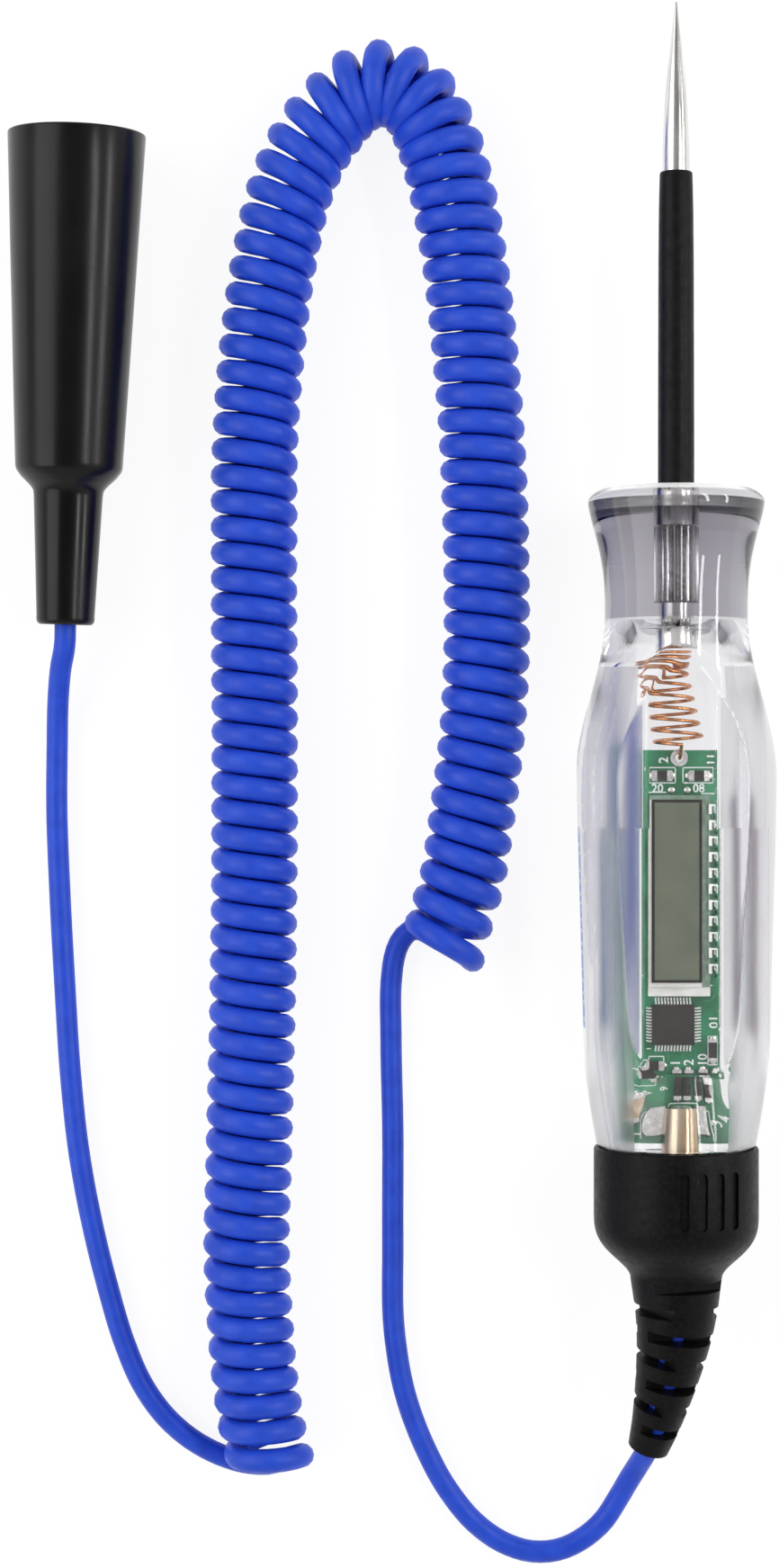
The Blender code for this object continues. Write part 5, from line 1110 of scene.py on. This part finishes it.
# Two-ended chips: side, offset, length, width, height and whether they lie across the board
SMALL_CHIPS = (
    ("chip_resistor_1", -2.4, 4.1, 3.3, 1.7, 0.55, True), ("chip_resistor_2", 3.5, 4.1, 3.3, 1.7, 0.55, True),
    ("chip_resistor_3", 4.1, 53.7, 4.3, 1.45, 0.6, False), ("chip_resistor_4", 5.8, 48.4, 3.8, 1.6, 0.55, False),
    ("chip_resistor_5", -3.7, 51.0, 3.2, 1.6, 0.55, True), ("zener_diode_1", -0.1, 53.7, 4.3, 1.5, 1.1, False),
    ("zener_diode_2", 1.8, 53.7, 4.3, 1.5, 1.1, False), ("chip_diode", 6.1, 53.9, 4.3, 1.4, 0.9, False),
    ("chip_capacitor", -6.8, 56.4, 4.0, 1.9, 1.1, False),
)
END_CUT = 0.08
BODY_INSET = 0.06

# The contact's rings are distance back and how far they flare; its wings are left and right edges
CONTACT_SIDE = 0.55
CONTACT_LIFT = 2.4
CONTACT_START = BOARD_FRONT + 56.7
CONTACT_LOW = -2.3
CONTACT_INNER, CONTACT_OUTER = 2.5, 2.9
CONTACT_RINGS = ((0.0, 0.012), (0.25, 0.0), (6.6, 0.0), (6.9, 0.016))
CONTACT_WINGS = ((-5.9, -2.7), (2.7, 4.9))
WING_LENGTH = 3.9
WING_THICKNESS = 0.35
ARCH_STEPS = 36


def make_microcontroller(made):
    """Makes the flat chip: chamfered body, pin mark and 48 bent leads."""
    shape = bmesh.new()
    rings = []
    for level, inset in CHIP_LEVELS:
        reach = CHIP_HALF - inset
        cut = reach - CHIP_CORNER
        corners = [(-cut, -reach), (cut, -reach), (reach, -cut), (reach, cut), (cut, reach), (-cut, reach),
                   (-reach, cut), (-reach, -cut)]
        rings.append([board_place(CHIP_SIDE + x, CHIP_OFFSET - y, level) for x, y in corners])
    skin(shape, rings)
    dome(shape, board_place(CHIP_SIDE - 2.6, CHIP_OFFSET + 2.6, 1.552), 0.35, 0.01)
    centre = board_place(CHIP_SIDE, CHIP_OFFSET)
    for turn in range(4):
        spin = Matrix.Rotation(math.radians(90.0 * turn), 3, "Z")
        for index in range(LEADS_PER_SIDE):
            middle = (index - (LEADS_PER_SIDE - 1) / 2) * LEAD_PITCH
            rings = [[centre + spin @ Vector((x, across, z)) * MM for x, z in LEAD_OUTLINE]
                     for across in (middle - LEAD_HALF_WIDTH, middle + LEAD_HALF_WIDTH)]
            skin(shape, rings, slot=1)
    finish_piece("flat_chip", shape, [made["chip"], made["lead"]], ["microcontroller"])


def make_small_chips(made):
    """Makes each two-ended chip with a rounded body, bright ends and solder at both."""
    for name, side, offset, length, width, height, across in SMALL_CHIPS:
        shape = bmesh.new()
        turn = Matrix.Rotation(math.radians(90.0 if across else 0.0), 4, "Z")
        place = Matrix.Translation(board_place(side, offset, 0.1)) @ turn @ Matrix.Scale(MM, 4)
        half, wide, end = length / 2, width / 2, 0.85 if across else 0.6
        inner = wide - BODY_INSET
        body = [(-inner, -half + end), (inner, -half + end), (inner, half - end), (-inner, half - end)]
        prism(shape, body, 0.0, height - 0.03, place)
        cap = [(-wide, half - end), (wide, half - end), (wide, half - END_CUT), (wide - END_CUT, half),
               (-wide + END_CUT, half), (-wide, half - END_CUT)]
        for sign in (1, -1):
            prism(shape, [(x, sign * y) for x, y in cap][::sign], 0.0, height, place, slot=1)
            foot = place @ Vector((0.0, sign * half, -0.08))
            dome(shape, foot, wide * 0.7, height * 0.55, slot=1, segments=16)
        beige = name == "chip_capacitor"
        finish_piece(name + "_fine", shape, [made["beige" if beige else "chip"], made["tin"]], [name])


def half_arch(radius):
    """Gives half a circle from right to left."""
    angles = [math.pi * step / ARCH_STEPS for step in range(ARCH_STEPS + 1)]
    return [(radius * math.cos(angle), radius * math.sin(angle)) for angle in angles]


def make_ground_contact(made):
    """Forms the arched contact with its two soldered wings."""
    shape = bmesh.new()
    arch = [(CONTACT_OUTER, CONTACT_LOW), *half_arch(CONTACT_OUTER), (-CONTACT_OUTER, CONTACT_LOW),
            (-CONTACT_INNER, CONTACT_LOW), *half_arch(CONTACT_INNER)[::-1], (CONTACT_INNER, CONTACT_LOW)]
    skin(shape, [[on_tester(CONTACT_SIDE + x * (1 + flare), CONTACT_START + along, CONTACT_LIFT + z)
                  for x, z in arch] for along, flare in CONTACT_RINGS])
    for left, right in CONTACT_WINGS:
        corners = [(left + 0.5, 0.0), (right, 0.0), (right, WING_LENGTH), (left + 0.5, WING_LENGTH),
                   (left, WING_LENGTH - 0.7), (left, 0.7)]
        rings = [[on_tester(CONTACT_SIDE + x, CONTACT_START + y, CONTACT_LIFT + z) for x, y in corners]
                 for z in (CONTACT_LOW, CONTACT_LOW + WING_THICKNESS)]
        skin(shape, rings, slot=1)
    piece = finish_piece("contact", shape, [made["brass"], made["tin"]], ["ground_contact"])
    soften(piece, 0.08)


# Cap and strain relief: the hollow's rows are station and radius
CAP_HOLLOW = ((122.15, CORD_HOLE), (118.35, 8.0), (114.35, 8.0), (114.35, 11.897), (CAP_RIM, 11.897))
CAP_SEGMENTS = 112
SHOULDER_STEPS = 36
RELIEF_STEPS = 60
GROOVE_MIDDLE = CAP_RIM + 7.4
GROOVE_RADIUS = 0.75
GROOVE_HALF_RUN = 3.75
GROOVES_PER_SIDE = 4
GROOVE_TURN = 20.0
GROOVE_PITCH = 13.0
SLOTS = 7
SLOT_START = 1.0
SLOT_PITCH = 3.93
SLOT_HALF_WIDTH = 0.85
SLOT_TURN = math.radians(25.0)
SLOT_REACH = 9.5
SLOT_FLOOR = 1.7
FIRST_SLOT_FLOOR = 3.6


def relief_frames():
    """Gives matrices in millimetres across the relief's even-spaced centreline."""
    points = even_spaced(smooth_line(relief_route(), 16), RELIEF_LENGTH * MM / RELIEF_STEPS)
    frames = []
    for index, point in enumerate(points):
        back = (points[max(index - 1, 0)] - points[min(index + 1, len(points) - 1)]).normalized()
        side = back.cross(UP).normalized()
        turn = Matrix((side, back, side.cross(back))).transposed().to_4x4()
        frames.append(Matrix.Translation(point) @ turn @ Matrix.Scale(MM, 4))
    return frames


def carve(name, shape, cutters):
    """Cuts closed cutters out of the shape and gives the result as a bmesh."""
    items = []
    for part in [shape] + cutters:
        mesh = bpy.data.meshes.new(name + "_blank")
        bmesh.ops.recalc_face_normals(part, faces=part.faces)
        part.to_mesh(mesh)
        part.free()
        items.append(link(bpy.data.objects.new(name + "_blank", mesh)))
    for cutter in items[1:]:
        modifier = items[0].modifiers.new("cut", "BOOLEAN")
        modifier.operation = "DIFFERENCE"
        modifier.solver = "EXACT"
        modifier.object = cutter
    graph = bpy.context.evaluated_depsgraph_get()
    result = bmesh.new()
    result.from_mesh(bpy.data.meshes.new_from_object(items[0].evaluated_get(graph)))
    for item in items:
        bpy.data.objects.remove(item)
    return result


def groove_cutters():
    """Makes the cutters of the round-ended grip grooves on both sides."""
    shape = bmesh.new()
    outline = [(x, y + (GROOVE_HALF_RUN if index < 10 else -GROOVE_HALF_RUN))
               for index, (x, y) in enumerate(circle(GROOVE_RADIUS, 20))]
    for half_turn in (0.0, math.pi):
        for index in range(GROOVES_PER_SIDE):
            angle = math.radians(GROOVE_TURN + (index - 1.5) * GROOVE_PITCH) + half_turn
            place = TESTER @ Matrix.Translation((0.0, -GROOVE_MIDDLE, 0.0)) @ Matrix.Rotation(angle, 4, "Y")
            prism(shape, outline, CAP_RADIUS - 0.55, CAP_RADIUS + 1.0, place)
    return shape


def slot_cutters(frames):
    """Makes the cutters of the relief's slots, in pairs that take turns about its centreline."""
    shape = bmesh.new()
    outline = [(-SLOT_REACH, -SLOT_HALF_WIDTH), (SLOT_REACH, -SLOT_HALF_WIDTH), (SLOT_REACH, SLOT_HALF_WIDTH),
               (-SLOT_REACH, SLOT_HALF_WIDTH)]
    for index in range(SLOTS):
        position = (SLOT_START + index * SLOT_PITCH) * RELIEF_STEPS / RELIEF_LENGTH
        base = min(int(position), len(frames) - 2)
        place = frames[base].lerp(frames[base + 1], position - base)
        turn = SLOT_TURN + (math.pi / 2 if index % 2 else 0.0)
        floor = FIRST_SLOT_FLOOR if index < 2 else SLOT_FLOOR
        for half_turn in (0.0, math.pi):
            prism(shape, outline, floor, SLOT_REACH, place @ Matrix.Rotation(turn + half_turn, 4, "Y"))
    return shape


def make_cap(made):
    """Sweeps the cap and its relief as one body and cuts its grooves and slots."""
    frames = relief_frames()
    outline = [(CAP_RIM, CAP_RADIUS - 0.35), (CAP_RIM + 0.12, CAP_RADIUS - 0.12), (CAP_RIM + 0.4, CAP_RADIUS)]
    for step in range(SHOULDER_STEPS):
        share = step / SHOULDER_STEPS
        radius = CAP_RADIUS + (RELIEF_ROOT_RADIUS - CAP_RADIUS) * wave_step(share ** (1.0 / 0.58))
        outline.append((CAP_SHOULDER + CAP_SHOULDER_LENGTH * share, radius))
    rings = [round_ring(TESTER, along, radius, CAP_SEGMENTS) for along, radius in outline]
    for index, frame in enumerate(frames):
        share = index / (len(frames) - 1)
        radius = RELIEF_ROOT_RADIUS + (RELIEF_TIP_RADIUS - RELIEF_ROOT_RADIUS) * share
        rings.append(round_ring(frame, 0.0, radius, CAP_SEGMENTS))
    rings.append(round_ring(frames[-1], 0.02, RELIEF_TIP_RADIUS - 0.2, CAP_SEGMENTS))
    rings += [round_ring(frame, 0.0, CORD_HOLE, CAP_SEGMENTS) for frame in frames[::-4]]
    rings += [round_ring(TESTER, along, radius, CAP_SEGMENTS) for along, radius in CAP_HOLLOW]
    shape = bmesh.new()
    skin(shape, rings, closed=True)
    result = carve("cap", shape, [groove_cutters(), slot_cutters(frames)])
    piece = finish_piece("cap", result, [made["cap"]], ["end_cap"], 38.0)
    soften(piece, 0.12, 38.0)


# Boot and clip: the profile's rows are distance behind the boot's mouth and radius
BOOT_PROFILE = (
    (0.1, 9.95), (0.0, 10.1), (0.0, 10.8), (0.12, 11.02), (0.35, 11.09), (10.0, 10.64), (25.0, 9.96),
    (40.0, 9.28), (53.0, 8.69), (53.7, 8.63), (54.2, 8.45), (55.2, 7.7), (56.4, 6.45), (56.95, 5.95),
    (57.4, 5.68), (58.2, 5.57), (66.0, 5.22), (77.6, 4.7), (78.0, 4.72), (78.5, 4.65), (78.85, 4.4),
    (79.0, 4.1), (79.0, 2.1), (59.6, 2.1), (58.4, 4.4), (56.0, 4.4), (52.7, 7.45), (30.0, 8.48), (10.0, 9.4),
)


def make_boot(made, clip_frame):
    """Turns the hollow rubber boot with rounded lips and shoulder."""
    shape = bmesh.new()
    skin(shape, [round_ring(clip_frame, along, radius, 112) for along, radius in BOOT_PROFILE], closed=True)
    return finish_piece("boot", shape, [made["boot"]], ["clip_boot"], 50.0)


def make_clip_pieces(made, nodes):
    """Rounds the edges of the clip's sheet metal on copies of its solids."""
    pieces = []
    for name, body in (("clip_fixed_jaw", "tester"), ("clip_moving_jaw", "clip_jaw"), ("clip_pivot_pin", "tester")):
        mesh = nodes[name].data.copy()
        mesh.materials.clear()
        mesh.materials.append(made["clip_steel"])
        piece = link(bpy.data.objects.new(name + "_fine", mesh))
        soften(piece, 0.09, 40.0)
        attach(piece, body)
        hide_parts(name)
        pieces.append(piece)
    return pieces


def main():
    """Builds the scene."""
    bpy.context.scene.view_settings.view_transform = "Standard"
    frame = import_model()
    made = make_materials()
    add_camera()
    add_floor()
    add_world()
    for lamp in LAMPS:
        add_lamp(*lamp)
    boot_turn = Matrix.Rotation(BOOT_HEADING, 3, "Z") @ Matrix.Rotation(BOOT_PITCH, 3, "X")
    clip_frame = Matrix.LocRotScale(Vector(BOOT_PLACE) * MM, boot_turn, Vector((MM, MM, MM)))
    dress_nodes(frame["nodes"], made)
    clip_pieces = make_clip_pieces(made, frame["nodes"])
    clip_pieces.append(make_boot(made, clip_frame))
    clip_pieces += [frame["nodes"]["clip_spring"], frame["nodes"]["clip_conductor"]]
    make_cord(made, clip_frame)
    for make in (make_handle, make_side_marks, make_probe, make_sleeve, make_contact_spring, make_board_marks,
                 make_solder, make_tracks, make_window, make_pins, make_microcontroller, make_small_chips,
                 make_ground_contact, make_cap):
        make(made)


main()
